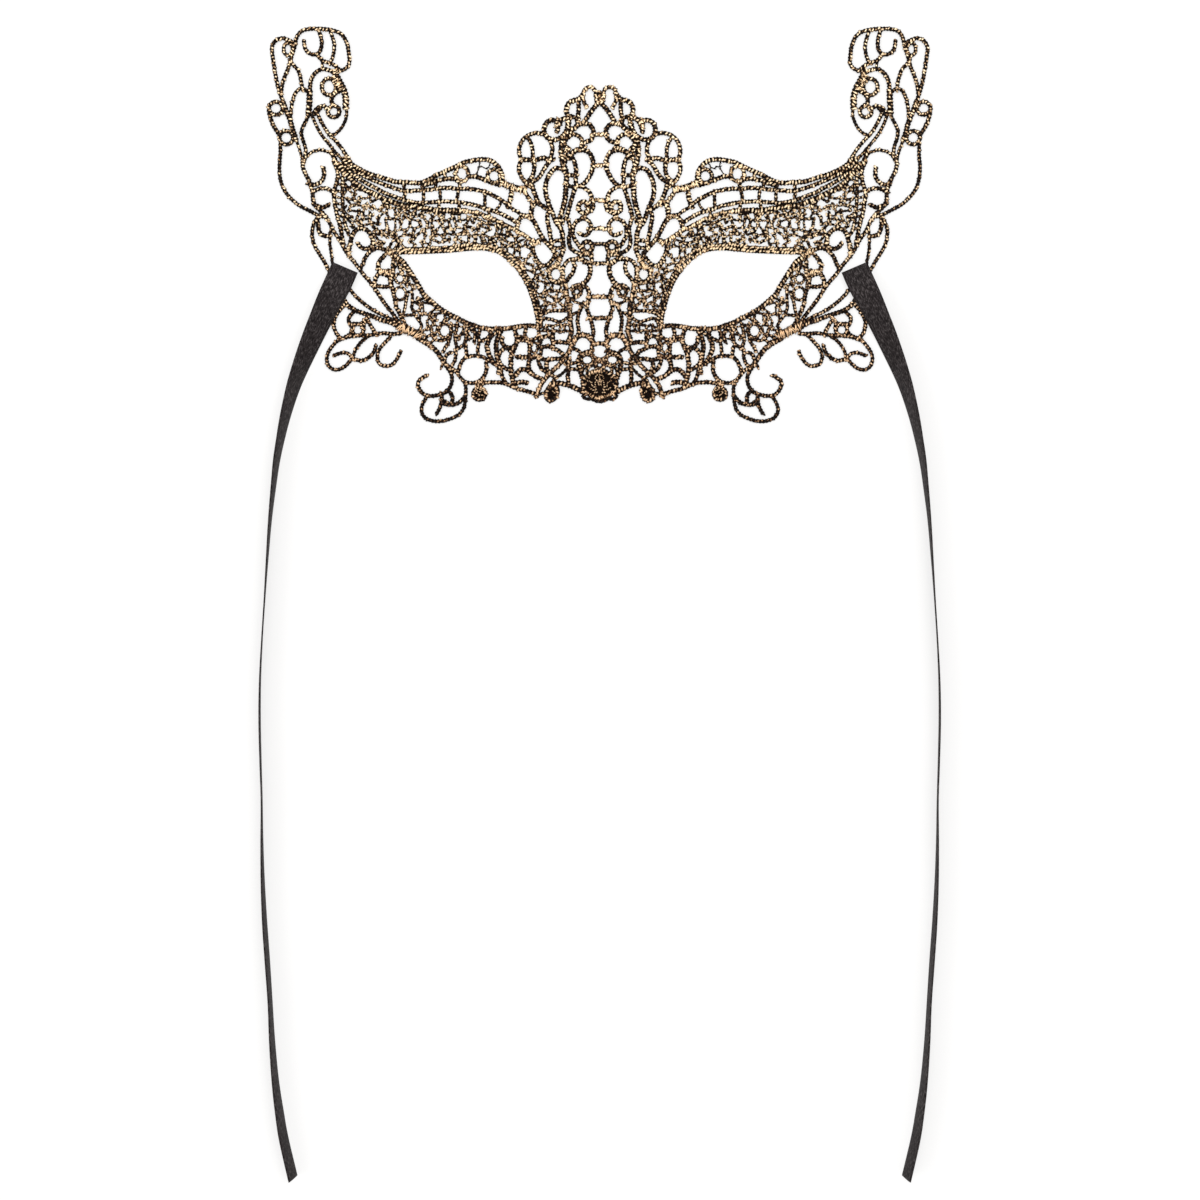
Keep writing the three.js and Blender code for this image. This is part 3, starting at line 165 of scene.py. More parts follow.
# The lace's right half, in millimetres. Each cord is its width, how much gold it shows, from 0, bare black
# thread, to 1, all gold, or more where no wear shows either, then one or more routes of x,y pairs.
wing_tip = {
    "crest": [1.6, 0.6, [88,51, 85.6,51.2, 83.5,53.1, 83.6,57, 84.3,60.4, 86.2,63.3, 90,64.7, 95,65,
        99,64.4, 100.9,62.2, 101.6,59, 102.6,56, 103.2,53.4]],
    "crest rib": [1.5, 0.6, [89.6,63.8, 88.9,61.8, 88.4,59.5, 88.6,57, 89.2,54.8, 89.9,53.6]],
    "crest hook": [1.6, 0.6, [93.6,64.4, 92.8,62, 92.6,59.5, 93.3,57.2, 95,56.3, 97,57, 98.2,58.6,
        98.5,60.8]],
    "crest foot": [1.6, 0.6, [87,51.6, 88.6,53, 90.6,53.8, 92.4,54.4, 94,56.2]],
    "crest tie": [1, 0.6, [92.5,54, 92.2,52]],
    "curl arch": [1.7, 0.6, [88.2,50.2, 90.2,51.2, 92.4,51.6, 94.6,50.4, 96,48.3, 96.5,45.5, 96.5,43.6]],
    "curl side": [2.4, 0.6, [96.6,43.8, 96.7,40.5, 96.9,37.2]],
    "curl spine": [2.6, 0.6, [88.2,50.4, 86.9,47.8, 85.4,45, 84.6,42, 84.6,39]],
    "curl tail": [1.3, 0.3, [84.4,38.6, 84.3,36, 85.4,33, 87,30.8, 88.6,29.8, 89.9,29.6]],
    "curl link": [1.8, 0.6, [86,44.4, 87.6,43.8, 89,42.4, 89.4,40.6, 88.8,39.8]],
    "curl bridge": [1.7, 0.6, [90.4,38.2, 91.8,39.2, 93.4,39, 94.6,38, 95.2,37]],
    "wing middle": [1.5, 0.42, [96.7,36.8, 97.7,34.6, 98.8,32.6, 99.4,30.4, 98.9,28, 98.2,26, 97.9,24,
        98.4,21.8]],
    "outer loop": [1.6, 0.6, [102,60.4, 103.6,61.2, 105.8,61.9, 108,61, 109.2,58.8, 108.9,55.5, 108.3,51.5,
        107.6,47.6, 106.6,43.8, 105.3,40.2]],
    "side rail": [2, 0.55, [105.3,40.2, 104.3,37.4, 103,34.2, 102.1,31, 101.2,28.2]],
    "side rail end": [1.2, 0.6, [101.6,29.2, 100.9,27.4, 100.1,25.2, 99.4,23, 98.9,21]],
    "leaf left": [1.5, 0.6, [103.2,54.4, 102.2,53, 100.6,51.4, 99.7,48.8, 99.2,46.2, 99,45]],
    "leaf right": [1.6, 0.6, [103.1,54, 103.7,52, 104.7,49.6, 105.7,46.6, 106.1,43.6]],
    "leaf low": [1.5, 0.6, [96.8,43.4, 98.2,44.8, 99.8,45, 101.3,43.7, 102.3,41, 102.8,38, 103,35.4]],
    "outer link": [1.7, 0.28, [110,36.6, 109.3,34.2, 108.3,32, 107.2,30.4]],
}
wing_side = {
    "wing outline": [1.5, 0.36, [106.4,26.4, 106.4,23, 106.7,19, 106.4,15, 105.2,11.5, 103,8.6, 100.2,6.2,
        97,4.5, 94,3, 92.3,3]],
    "wing inner": [1.7, 0.6, [98.9,21.4, 98.9,19, 98,16.6, 96.9,14.6, 96.2,12.6, 95.6,10.2, 95.5,7.8,
        94.4,5.6, 92.6,4, 91,2]],
    "side hook": [1.8, 0.6, [96.6,13.2, 94.8,13, 93,13.9, 91.9,15.6, 91.8,17.2, 92,18.5]],
    "side arch": [1.3, 0.6, [98.2,21.4, 97.4,22.8, 96,23.9, 93.6,24.6, 91.4,24.3, 89.6,23.6, 88.6,22.8]],
    "side arch root": [1.9, 0.6, [87.9,20.6, 88.5,22.2, 89.2,23.4]],
    "side bow": [1.7, 0.6, [95.6,10.6, 94,11.5, 92.2,11.9, 90.2,11.5, 88.6,10.4]],
    "knob hook": [1.8, 0.6, [95.2,6.6, 93.8,5.8, 92.2,5.4, 90.5,6.2]],
    "temple loop": [1.5, 0.6, [91.2,2.2, 92.8,2.5, 94.2,1.9, 95.2,0.2, 95.8,-2.4, 95.6,-5.2, 94.8,-7.6,
        93.4,-10, 92,-12.2, 90.8,-14.4]],
    "temple hook": [1.8, 0.6, [94,1.6, 93.8,-0.6, 93.4,-2.6, 92.2,-3.9, 90.2,-4.1]],
    "temple stay": [1.2, 0.42, [89.7,-2.6, 89.9,-5.4, 89.7,-8.4, 89.3,-11, 89,-13.4, 89.1,-16.6]],
    "ribbon tab": [1.5, 0.5, [90.8,-14.4, 89.4,-16.8, 87.9,-19.6, 86.5,-23.2]],
    "long diagonal": [1.6, 0.58, [91,2, 89.8,0, 88.8,-2.2, 87.4,-4.2, 86,-6.4, 84.8,-8.8, 83.2,-11,
        81.4,-13.2, 80,-15, 78.6,-17, 76.8,-19, 75,-21.4, 73.2,-24.2, 71.4,-26.8, 69.6,-29, 68,-31.2,
        66.6,-33.2]],
    "ladder outer": [1.7, 0.6, [88.4,20.4, 87.5,18.4, 87.2,16, 87.8,13, 88.6,10.6, 88.4,8.2, 88,5.6, 87.5,3,
        86.8,0.6, 86.3,-1.6, 85.9,-4, 85.4,-6.6]],
    "ladder inner": [1.5, 0.6, [85.4,18.8, 85.5,16.6, 85.7,13.4, 85.7,10.4, 85.6,7.2, 85.4,4, 85,1,
        84.4,-1.4, 83.8,-3]],
}
brow = {
    "brow top": [1.9, 0.76, [32.5,13.6, 32.6,16.6, 33.8,19, 36,20.9, 39,21.5, 42,21.1, 45,20.5, 48,19,
        51,17.6, 54,16.3, 57,14.7, 60,13.6, 64,13.8, 68,14, 72,15.2, 76,16.4, 79.5,17.9, 82.5,19.8,
        84.4,21.9]],
    "brow top end": [1.5, 0.62, [83,20.6, 84.6,23.2, 86.4,25.8, 88.4,28.1, 90.2,30, 91.6,32, 92.8,34.2,
        94,36.6]],
    "brow two": [1.9, 0.6, [46.8,13.9, 48.4,15, 51,15, 53.6,14.5, 56,13.6, 58.5,12.8]],
    "brow three": [1.7, 0.72, [30.6,6.4, 32.6,7.8, 34.6,9, 36.8,10.1, 39,10.9, 42,11.5, 45,11.7, 47.2,11.6,
        50,12, 53.5,11.8, 57,11.4, 61,11.1, 65,11, 68,11.8, 71,12.8, 74,14, 77,15.2, 80,16.7, 83,18.8,
        85.6,21.4]],
    "brow three end": [1.3, 0.46, [84.6,20.2, 86.6,22.3, 88.4,24.3, 90.4,26.8, 92.2,29, 93.6,31.2,
        94.8,33.6, 95.9,36.4]],
    "brow four": [1.7, 0.74, [27.4,0.2, 29.2,1.4, 31.4,2.6, 33.8,3.8, 36.4,4.6, 39.4,5.6, 43,6.6, 47,7.2,
        52,7.5, 57,7.1, 61,7, 65,7.9, 68,8.9, 71,10, 74,11.6, 77,13.2, 80,14.9, 83,17, 86,19.9]],
    "brow five": [2.3, 0.8, [45,4.3, 50,4.4, 55,4.6, 59,5.3, 63,5.7, 67,6.6, 71,8, 74.5,9.6, 77.5,11,
        80.5,12.9, 83.5,15.6, 86.2,18.8, 88,20.6]],
    "hump base": [1.9, 0.6, [33.5,13, 36,13.8, 38.6,14.8, 41,15.7, 43,15.8]],
    "hump threads": [0.45, 0.05, [36.6,19.9, 37.5,18.4, 39.2,19.1, 40.2,19], [40.1,20.4, 40.1,18.8,
        40.8,17.4, 41.6,16.2]],
    "rungs two to three": [1.4, 0.45, [46.2,14.2, 46.6,12.8, 47,11.6], [59.2,13.2, 59,11.4], [65,13.4,
        65.2,11.2], [54.6,14.2, 54.6,11.8], [51.6,17, 51.4,15.4]],
    "rungs three to four": [1.4, 0.4, [47,11.4, 47.7,7.6], [53.3,11.6, 53,7.8], [58.7,11.2, 58.7,7.3],
        [65,10.8, 65,8.2], [38.2,10.5, 38.3,5.4]],
    "rung fine": [1.1, 0.4, [33,7.9, 33.2,6.2, 34.8,4.4]],
    "rungs four to five": [1.4, 0.6, [46.9,7, 46.7,4.6], [53.6,7.2, 53.6,4.8], [60.4,6.8, 60.6,5.4],
        [37,4.8, 36.8,2.6]],
    "brow root": [1.4, 0.6, [31,6.6, 29.6,5.4, 28,4.4, 26.2,3.2, 24.6,2.7]],
    "bar leg": [2, 0.6, [29.4,11, 29.6,9, 30.1,7.2, 30.6,6]],
    "eye inner": [1.6, 0.74, rim_inside[BY_NOSE]],
    "eye inner edge": [1.4, 0.62, rim_outside[BY_NOSE]],
    "eye lower": [2.1, 0.7, [45,-32.8, 48,-31.2, 51,-29.7, 53.8,-27.8, 56.4,-25.6, 58.6,-23.6, 60.2,-20.8,
        61.8,-18.2, 63.6,-15.4, 65.6,-12.6, 68.4,-10.6]],
}
crown = {
    "axis bar dark": [1.6, 0.4, [0,-6.7, 2.2,-6.7]],
    "crown diagonal": [2, 0.5, [1,39.6, 2.2,38.3, 3.4,36.6, 4.4,35, 5.2,33.6]],
    "petal two": [2, 0.72, [5.8,42.8, 6.8,41.6, 8.4,41.2, 9.9,40.6, 10.9,39.2, 11.1,37.4, 10.6,35.8,
        10.2,34.2, 10.4,32.6]],
    "petal two left": [1.8, 0.6, [7,40.8, 7,38.8, 7.1,36.8, 7.6,34.8, 7.4,33.4]],
    "petal two foot": [1.7, 0.6, [7.6,35, 8.9,35.7, 10.3,35.9]],
    "petal three hook": [2, 0.6, [10.4,35, 11.8,35.2, 13,34.2, 13.8,32.6, 14.2,31]],
    "petal three": [2, 0.6, [13.8,33.6, 14.8,34.4, 16.2,34.5, 17.7,33.7, 18.5,32, 18.4,30.2, 17.5,28.7,
        15.8,28, 13.8,28.3, 12,29.6, 10.9,31.4, 10.6,33]],
    "petal four": [1.7, 0.7, [18.6,29.8, 20.4,30.3, 22.6,30, 24.6,29, 26,27.4, 26.8,25.2, 26.8,23.2,
        26,21.6]],
    "petal four inner": [1.6, 0.6, [24,28.8, 23,27.2, 22.4,25.2, 22.3,23.2, 22.5,21.2]],
    "petal four side": [1.7, 0.6, [16.6,27.8, 15.8,26, 15.8,24, 16.2,22.2, 16.6,21]],
    "petal four foot": [2, 0.6, [16,21.4, 17.8,21.7, 19.4,21.9, 20.8,21.3, 22.6,21.2, 24.6,21.4, 26,21.4]],
    "petal four stay": [1.8, 0.6, [16.6,21, 17.8,19.4, 18.9,17.6, 19.9,15.9, 21.2,14.6, 22.8,13.8]],
    "petal five right": [1.7, 0.82, [26,21.3, 26.9,19.4, 26.8,17.4, 26,15.6, 25,14.2, 23.8,13]],
    "petal five left": [1.8, 0.6, [22,21, 21.8,19, 22,17, 22.8,15.2, 24.2,14]],
    "link ring": [1.9, 0.6, [5.2,33.5, 3.4,33.1, 2.3,31.7, 2,30, 2.6,28.4, 4,27.3, 5.6,27.2]],
    "crown rail": [2.1, 0.6, [5,33.5, 6.8,33.2, 8.4,31.9, 10,30.6, 11.6,29.4, 13,28.6]],
    "drop left": [1.8, 0.6, [9,30, 7.2,29.4, 6,28.2, 5.7,26.7, 6.4,25.2]],
    "drop right": [1.9, 0.6, [9.6,29.6, 11,28.4, 11.8,27, 11.6,25.8, 10.6,25]],
    "petal six top": [2.3, 0.6, [5.4,25.2, 7.2,24.7, 8.9,23.8, 9.9,22.4]],
    "petal six": [1.9, 0.6, [7,24.6, 5.2,24.5, 3.4,23.6, 2.4,21.8, 2.1,19.8, 2.5,17.8, 3.3,16, 4.5,14.2,
        6,12.8, 7.8,12.4]],
    "petal six right": [1.8, 0.6, [9.6,22.6, 8.6,21.2, 8,19.2, 7.9,17, 8,14.8, 7.9,12.8]],
    "column top": [2, 0.6, [11.9,29, 12.7,27, 12.9,24.8, 12.7,22.6, 12.6,20.8, 12,19]],
    "column inner": [1.5, 0.6, [11.2,25, 11.1,23, 11.1,21.4, 11.7,19.8, 11.7,18.4, 11.3,17, 11.2,15]],
    "column middle": [2.2, 0.6, [11.6,18.6, 11,16.6, 11.1,14, 11.3,11, 11.5,8.5, 12,6, 12.7,3.6, 13.6,1]],
    "column rungs": [1.3, 0.5, [10.6,25.6, 12.4,26.2], [10.6,24.3, 12.8,24.2], [10.8,22.8, 12.8,22.6]],
    "long arch": [1.9, 0.6, [11.4,17, 12.4,18.2, 14,18.6, 15.6,18, 16.8,16.4, 17.7,14.4, 18.1,12, 17.9,9.4,
        17.1,7, 16.1,4.6, 15.3,2.4, 14.5,0.4, 13.4,-1]],
    "petal six links": [1.7, 0.6, [8,16.2, 10.8,16.2], [8,12.4, 9.6,12.4, 11.2,13]],
}
bridge = {
    "bridge right": [1.8, 0.6, [8,12.2, 8.7,10.4, 9.3,8.4, 9.9,6.4, 10.4,4.4, 10.9,2.4]],
    "bridge left": [1.7, 0.6, [6,12.4, 4.2,11.4, 2.9,9.8, 2.4,8]],
    "rosette side": [1.8, 0.6, [2.2,7, 2.2,5.2, 3.6,4, 5.2,3, 5.2,2], [2.6,7.4, 4,6.6]],
    "heart left": [1.7, 0.6, [5.4,2, 3.9,1.2, 3,-0.2, 3,-1.8, 3.8,-3.3, 5.2,-3.9, 6.6,-3.3]],
    "heart right": [1.7, 0.6, [5.2,2, 7,1.2, 8.4,0, 8.9,-2, 8.9,-4, 8,-5.6, 7,-7.2, 6,-8.6]],
    "heart outer": [1.7, 0.42, [10.3,0.4, 9.8,-1.2, 9.9,-3.4, 10.3,-5.4, 10,-7.4, 9,-8.8, 7.4,-9.6,
        6.2,-10]],
    "bridge knot": [1.4, 0.6, [10.2,0.6, 10.6,1.9, 11.8,2, 12.2,0.6]],
    "brow cross": [1.5, 0.6, [22.6,14.4, 24,13.2, 25.6,12], [25.2,14.2, 24,12.8, 22.6,12]],
    "node left": [1.9, 0.6, [22.6,13.6, 22.2,11.8, 21.6,10, 20.9,8.2, 20.6,6.8]],
    "node foot": [1.5, 0.6, [20.4,7.2, 21.8,6.4, 22.4,5.6]],
    "stay one": [1.9, 0.6, [21,7.2, 19.4,6.2, 17.8,5.2, 16.8,4.4]],
    "stay two": [1.8, 0.6, [16.9,4.4, 17.5,2.4, 17.2,0.2, 16.8,-2, 16.4,-4.2, 16,-6]],
    "stay three": [2.1, 0.6, [22.4,6.4, 22.7,4.4, 23,2.4]],
    "stay four": [1.9, 0.6, [24.8,2.7, 23.2,2.2, 21.9,0.8, 20.9,-1.2, 19.9,-3.2, 18.8,-5, 17.4,-6.6,
        16,-8.2, 14.8,-9.6]],
    "root arch": [1.9, 0.6, [23.2,2.4, 24.8,2.7, 26.2,2.2, 27.1,0.8, 27.5,-0.8]],
    "inner left": [2, 0.6, [13.8,0.6, 13.1,-1.2, 12.4,-3.4, 12.4,-5.4, 12.1,-7.4, 12.4,-9.6, 13.4,-11.4]],
    "inner rungs": [1.6, 0.6, [12.6,-5.4, 14.2,-5.6, 15.8,-5.9], [12.4,-8, 14.6,-8], [16,-6.2, 15.4,-8.2],
        [15,-9.6, 14.4,-11.2]],
    "root link": [2.1, 0.6, [19.4,-5.2, 21,-6, 22.4,-6.2]],
    "root tail": [1.6, 0.6, [22.2,-6.6, 22.2,-8.6, 21.6,-10.6, 20.6,-12.4, 19.2,-14]],
}
nose = {
    "nose top": [1.7, 0.6, [3,-9.4, 2.7,-11, 2.6,-12.8], [0,-13.2, 4.6,-12.9]],
    "leaf left": [2, 0.6, [5.2,-12.2, 3.6,-13.2, 3.1,-15.2, 3.5,-17.4, 4.6,-19.2, 5.8,-20.4]],
    "leaf top": [1.6, 0.6, [4.2,-12.8, 6,-11.9, 8,-11.8, 9.9,-11.8, 11.3,-13, 12.2,-14.8, 12.3,-16.8,
        12,-18.6]],
    "leaf seed": [1.7, 0.6, [8.8,-12.4, 8.4,-14, 8.7,-15.8, 9.6,-17.2, 10.6,-18.4, 11.4,-19.8], [3.2,-10.6,
        4.8,-10.2, 6.4,-10.6, 7.6,-11.6], [15.4,-11.4, 16.8,-13.2, 18.6,-14, 20,-13.4]],
    "diamond sides": [1.6, 0.6, [5.6,-20.4, 6,-22, 6.8,-23.6, 8.2,-24.6, 9.6,-25], [6.2,-20.4, 8,-20.4,
        9.4,-21.6]],
    "nose left": [1.7, 0.6, [5.2,-20.4, 4.2,-21.4, 3.6,-23, 3.5,-24.8, 4,-26.6, 4.3,-28.2, 3.6,-30, 3,-31.8,
        2.5,-33.8, 2.1,-35.8, 2.4,-37.8, 2.4,-39.6]],
    "nose bow": [1.1, 0.6, [3.8,-26.2, 5.6,-26.6, 7.4,-26.3, 8.6,-25.6, 10,-25.2]],
    "nose gold": [1.6, 0.6, [5.6,-26.6, 6.2,-28.2, 7,-30, 7.4,-32, 7.2,-34, 7,-36, 7.6,-37.8]],
    "nose spurs": [1.4, 0.6, [7.6,-29.6, 9,-30, 9.6,-31], [10.4,-28.8, 12.4,-29, 14.8,-28.9, 17,-29.2,
        18.8,-30], [11,-31.4, 12.8,-32.6, 14.6,-32.4, 16.6,-31.7, 18.4,-31.5, 19.6,-32.8]],
}
nose_tip = {
    "tip crown": [1.7, 0.6, [0,-39.8, 1.4,-40, 2.6,-40.8]],
    "tip side": [2.1, 0.6, [2.8,-42.4, 4.6,-43, 6,-43.4, 6.9,-45, 7,-47, 6.5,-48.8, 6,-50.4]],
    "tip spurs": [1.5, 0.6, [6.2,-43.2, 7.2,-42, 8.6,-41.6], [2,-46.6, 3.6,-47, 5,-47.6, 5.8,-49], [7.4,-46,
        8.8,-46.4, 10.2,-46.7], [7.2,-48.6, 9.8,-48.2], [10.3,-45.4, 11.1,-46.3], [14.6,-51.3, 16.6,-50.1]],
    "tip post": [1.7, 0.5, [10.2,-46.6, 10.4,-48.6, 10.6,-50.6, 10.5,-52.8]],
    "tip stay": [1.2, 0.12, [10,-46.6, 11.4,-48.7, 13,-50.3, 15.4,-51.9]],
    "medallion rim": [2, 0.7, [2.2,-49.4, 4.2,-50.6, 5.5,-52.4, 5.4,-54.4, 4.6,-56.2]],
    "edge near": [2.1, 0.6, [5.2,-56.4, 7,-55.2, 9.2,-54.2, 11.6,-53.4, 13.8,-53, 15.6,-53.2]],
    "edge stay": [1.2, 0.3, [15,-51.6, 16,-52.9, 17.3,-54.6, 18.2,-56.2], [19,-56.4, 20.6,-56.8,
        21.2,-57.6]],
    "lattice one": [1.8, 0.6, [17.4,-45.6, 17.9,-47.4, 17.2,-49, 16.4,-50], [10.8,-44.6, 13,-44.9, 15.4,-45,
        17.6,-45.4, 19,-45], [12.2,-43.8, 13.4,-42.4, 15.2,-41.6, 16.8,-40.8, 18.8,-41], [10,-39.8,
        12.6,-39.4, 15.2,-39.4], [15.6,-36.6, 15.6,-40.6], [15.4,-39.4, 16.2,-37.9, 17.6,-37.3, 19.2,-37.9,
        19.8,-39.4]],
    "rim stay": [1.5, 0.6, [20.4,-34.6, 20.2,-36.6, 20.2,-38.6, 20,-40.4, 19.4,-42.4, 20,-44.4]],
    "bean left": [1.7, 0.6, [20.6,-44.4, 20.2,-46.6, 19.2,-48.4, 17.8,-49.4]],
    "bean right": [1.9, 0.6, [21,-44.4, 22.6,-44.6, 23.6,-46, 23.7,-47.8, 22.8,-49.6, 21.2,-51,
        19.4,-51.6]],
    "hook row": [1.9, 0.6, [20.6,-44, 22.6,-44.2, 25,-44.4, 27.2,-44.4]],
    "open loop": [2, 0.6, [22.8,-49.8, 24.2,-48.7, 25.8,-48.4, 27.2,-49.2, 28.4,-50.6], [28.6,-53.2,
        27,-52.8, 25.4,-52.7, 24.6,-52.9]],
    "edge far": [1.7, 0.6, [21,-56.8, 23.2,-56, 25.6,-55.4, 28,-54.7, 30,-53.8, 32,-53, 34.5,-52.8,
        37,-52.8, 39.4,-53.2]],
}
cheek = {
    "cheek net one": [1.6, 0.6, [24.6,-35, 25,-36.8, 24.4,-38.4], [20.2,-37.4, 21.8,-38.4, 23.6,-38.8,
        25.4,-37.9, 27.4,-37.4], [23.6,-39, 23.4,-41.2, 23.4,-43.4], [23.8,-39.3, 25.4,-38.7, 27.2,-38.4]],
    "cheek bowl": [1.8, 0.6, [28.2,-35.6, 27.7,-37.4, 27.5,-39.2, 28.6,-40.8, 30,-41.3, 31.6,-40.8,
        32.6,-39.6, 32.6,-38.6]],
    "cheek stem": [2, 0.6, [27.6,-39.4, 28.4,-41.4, 29.2,-43.4, 29.6,-46, 29.6,-48.6, 29.2,-51,
        28.6,-53.6]],
    "cheek leaf": [1.8, 0.6, [29.4,-43, 30.4,-41.6, 31.8,-41.4, 33.2,-42.8, 33.8,-44.8, 33.2,-46.6,
        31.6,-48, 29.8,-48.8]],
    "cheek rail": [2, 0.6, [33,-36, 33.8,-37.6, 34.4,-39.4, 34.5,-41.4, 34.2,-43.4, 34,-45.6, 33.4,-47.4,
        33.6,-49.2]],
    "cheek drop": [2, 0.6, [36.4,-36, 36.4,-37.6, 37.2,-39.2, 37.6,-41, 37.1,-43, 36.2,-44.8, 35.4,-46.2]],
    "cheek cross": [1.6, 0.6, [34.4,-36.2, 36.2,-37.4, 38,-38.4, 39.6,-39], [32.8,-49, 32.4,-51,
        31.4,-52.8]],
    "circle top": [1.6, 0.6, [34.6,-46.8, 36.4,-45.8, 38.2,-44.7, 40.2,-44, 42.6,-44, 44.6,-44.4, 46,-46,
        46.8,-47.8, 47.2,-49.6]],
    "circle left": [1.7, 0.6, [37.8,-46.4, 37.7,-48.4, 38.2,-50.2, 39.4,-51.8, 40.6,-52.8]],
    "circle bottom": [1.6, 0.6, [40.4,-52.6, 42,-53, 43.6,-53, 45,-52.6]],
    "circle tail": [1.5, 0.6, [44.8,-52.8, 46.4,-51.2, 47.6,-49.5, 49,-48.2, 50.4,-47.4]],
    "berry neck": [1.2, 0.66, [39,-53.4, 39.8,-54.8]],
    "cheek ties": [1.3, 0.6, [51,-38.4, 53,-38.9, 55,-38.4, 55.8,-37, 56.2,-35.2], [55,-38.4, 56.4,-39.8],
        [56.2,-37, 57.6,-37.6, 59,-38.6]],
    "cheek net two": [1.5, 0.6, [40,-35.8, 40.4,-37.6, 40.2,-39.4, 40.6,-41.4, 40.6,-43.6], [41.8,-35.4,
        41.4,-37.2, 41.8,-39.2], [44.2,-34.4, 44.4,-36.4, 44.6,-38.4, 45,-40, 46.4,-41, 47.8,-42],
        [44.6,-41, 44.2,-43.8], [47.4,-33.4, 47.8,-35.4, 48.2,-37.4, 48,-39.4, 47.6,-41], [49.6,-33.6,
        49.4,-35.6, 49.8,-37.6, 50.4,-39.6, 51.4,-41, 52,-42.4], [48,-42.6, 48,-44.6, 48.8,-46.6,
        49.6,-47.6], [49.6,-42.9, 51,-43.6, 51.6,-45.2]],
    "cheek edge": [2, 0.6, [60.4,-38.2, 58,-39.6, 55.8,-41, 54,-42.8, 52.6,-45, 51.2,-47, 49.8,-49]],
    "edge spur": [1.2, 0.6, [52,-46, 52.7,-47.6]],
}
low_curls = {
    "big hook": [1.6, 0.5, [49.8,-49, 49.2,-51, 49.3,-53, 50.2,-55, 51.8,-56.4, 53.8,-57, 55.6,-57.3,
        57.2,-57.3, 58.8,-56.6, 60.2,-54.8, 60.6,-53, 59.8,-51.8, 58.6,-51, 57.8,-50.6]],
    "oval": [1.5, 0.24, [57.4,-57.4, 58.6,-59.2, 59.4,-61.4, 59,-63.6, 57.4,-65, 54.8,-65.8, 52,-65.6,
        49.4,-64.8, 47,-63.6, 45.4,-61.6, 44.8,-59, 44.6,-56.6, 44.6,-54.4, 45,-52.8]],
    "oval arch": [1.7, 0.32, [45,-57.6, 46.2,-59, 47.8,-60, 49.8,-60.2, 51.8,-60, 52.6,-59.2], [49.3,-60,
        49,-58.2, 49.4,-56.6, 50.4,-55.8]],
    "oval drop": [1.6, 0.28, [52.6,-56.8, 52.6,-58.6, 53,-60.6, 53.6,-62, 54.2,-63]],
    "oval tie": [1.1, 0.4, [50.2,-60, 51.4,-59.2, 52.4,-58.4]],
}
fan = {
    "fan one": [1.5, 0.6, [66.4,-34.6, 68.5,-32.4, 71,-31, 73.5,-29.8, 76,-28.4, 78.5,-26.6, 80.6,-24.8,
        82.6,-22.6, 83.8,-21, 85.6,-18.6]],
    "fan two": [1.9, 0.6, [66.6,-35, 68.8,-33.2, 72,-32.2, 75,-31, 78,-30, 81,-29, 83,-27.8, 84.6,-26.4,
        85.2,-25, 86.6,-23]],
    "fan rim": [1.6, 0.6, [84.6,-26.6, 86,-28, 87.4,-29.8, 88.3,-31.6, 88.6,-33.6, 88.2,-35.4, 87.3,-37.2,
        86.2,-38]],
    "fan three": [1.6, 0.6, [66.8,-36.6, 69.5,-36.6, 72.5,-36.4, 75,-36.8, 77.6,-37.2, 80,-37.2, 83,-37.5,
        85,-38, 86.6,-38.6]],
    "big curl": [1.5, 0.52, [86.8,-38.4, 88.8,-40.4, 90.4,-42.8, 90.9,-45.2, 90.2,-47.4, 88.4,-48.6,
        86.2,-48.3, 84.2,-46.9, 82.6,-45]],
    "curl hook": [1.5, 0.6, [82.4,-45, 83.2,-43.6, 84.6,-42.9, 86.6,-43.1, 88.3,-43.8]],
    "middle stem": [1.4, 0.6, [77,-37.4, 79.2,-39, 80.8,-41, 81.8,-43, 82.2,-44.8]],
    "middle curl": [1.6, 0.54, [82,-44.8, 80.4,-45.5, 78.6,-45.4, 76.8,-44.4, 75.4,-43, 74.8,-41.6,
        74.6,-40.7]],
    "third curl": [1.5, 0.56, [69.8,-37.6, 71.4,-39.4, 73,-41.2, 74,-43.2, 74,-45.2, 73.2,-46.8, 71.4,-47.4,
        69.4,-47, 67.8,-45.4, 67,-44, 66.5,-43]],
    "fan inside": [1.6, 0.6, [82,-29.3, 83.5,-31, 83.7,-32.4, 82.9,-33.8], [77.4,-31.2, 78.4,-32.6,
        79.8,-33.4, 81.6,-33.2, 83,-33.4], [78.6,-32.8, 78.6,-34.6, 78.8,-36.8], [77.6,-31.8, 76.6,-33.4,
        75.6,-35, 74.8,-36.6], [82.4,-35.4, 83.2,-36.8, 84.6,-37.6]],
}
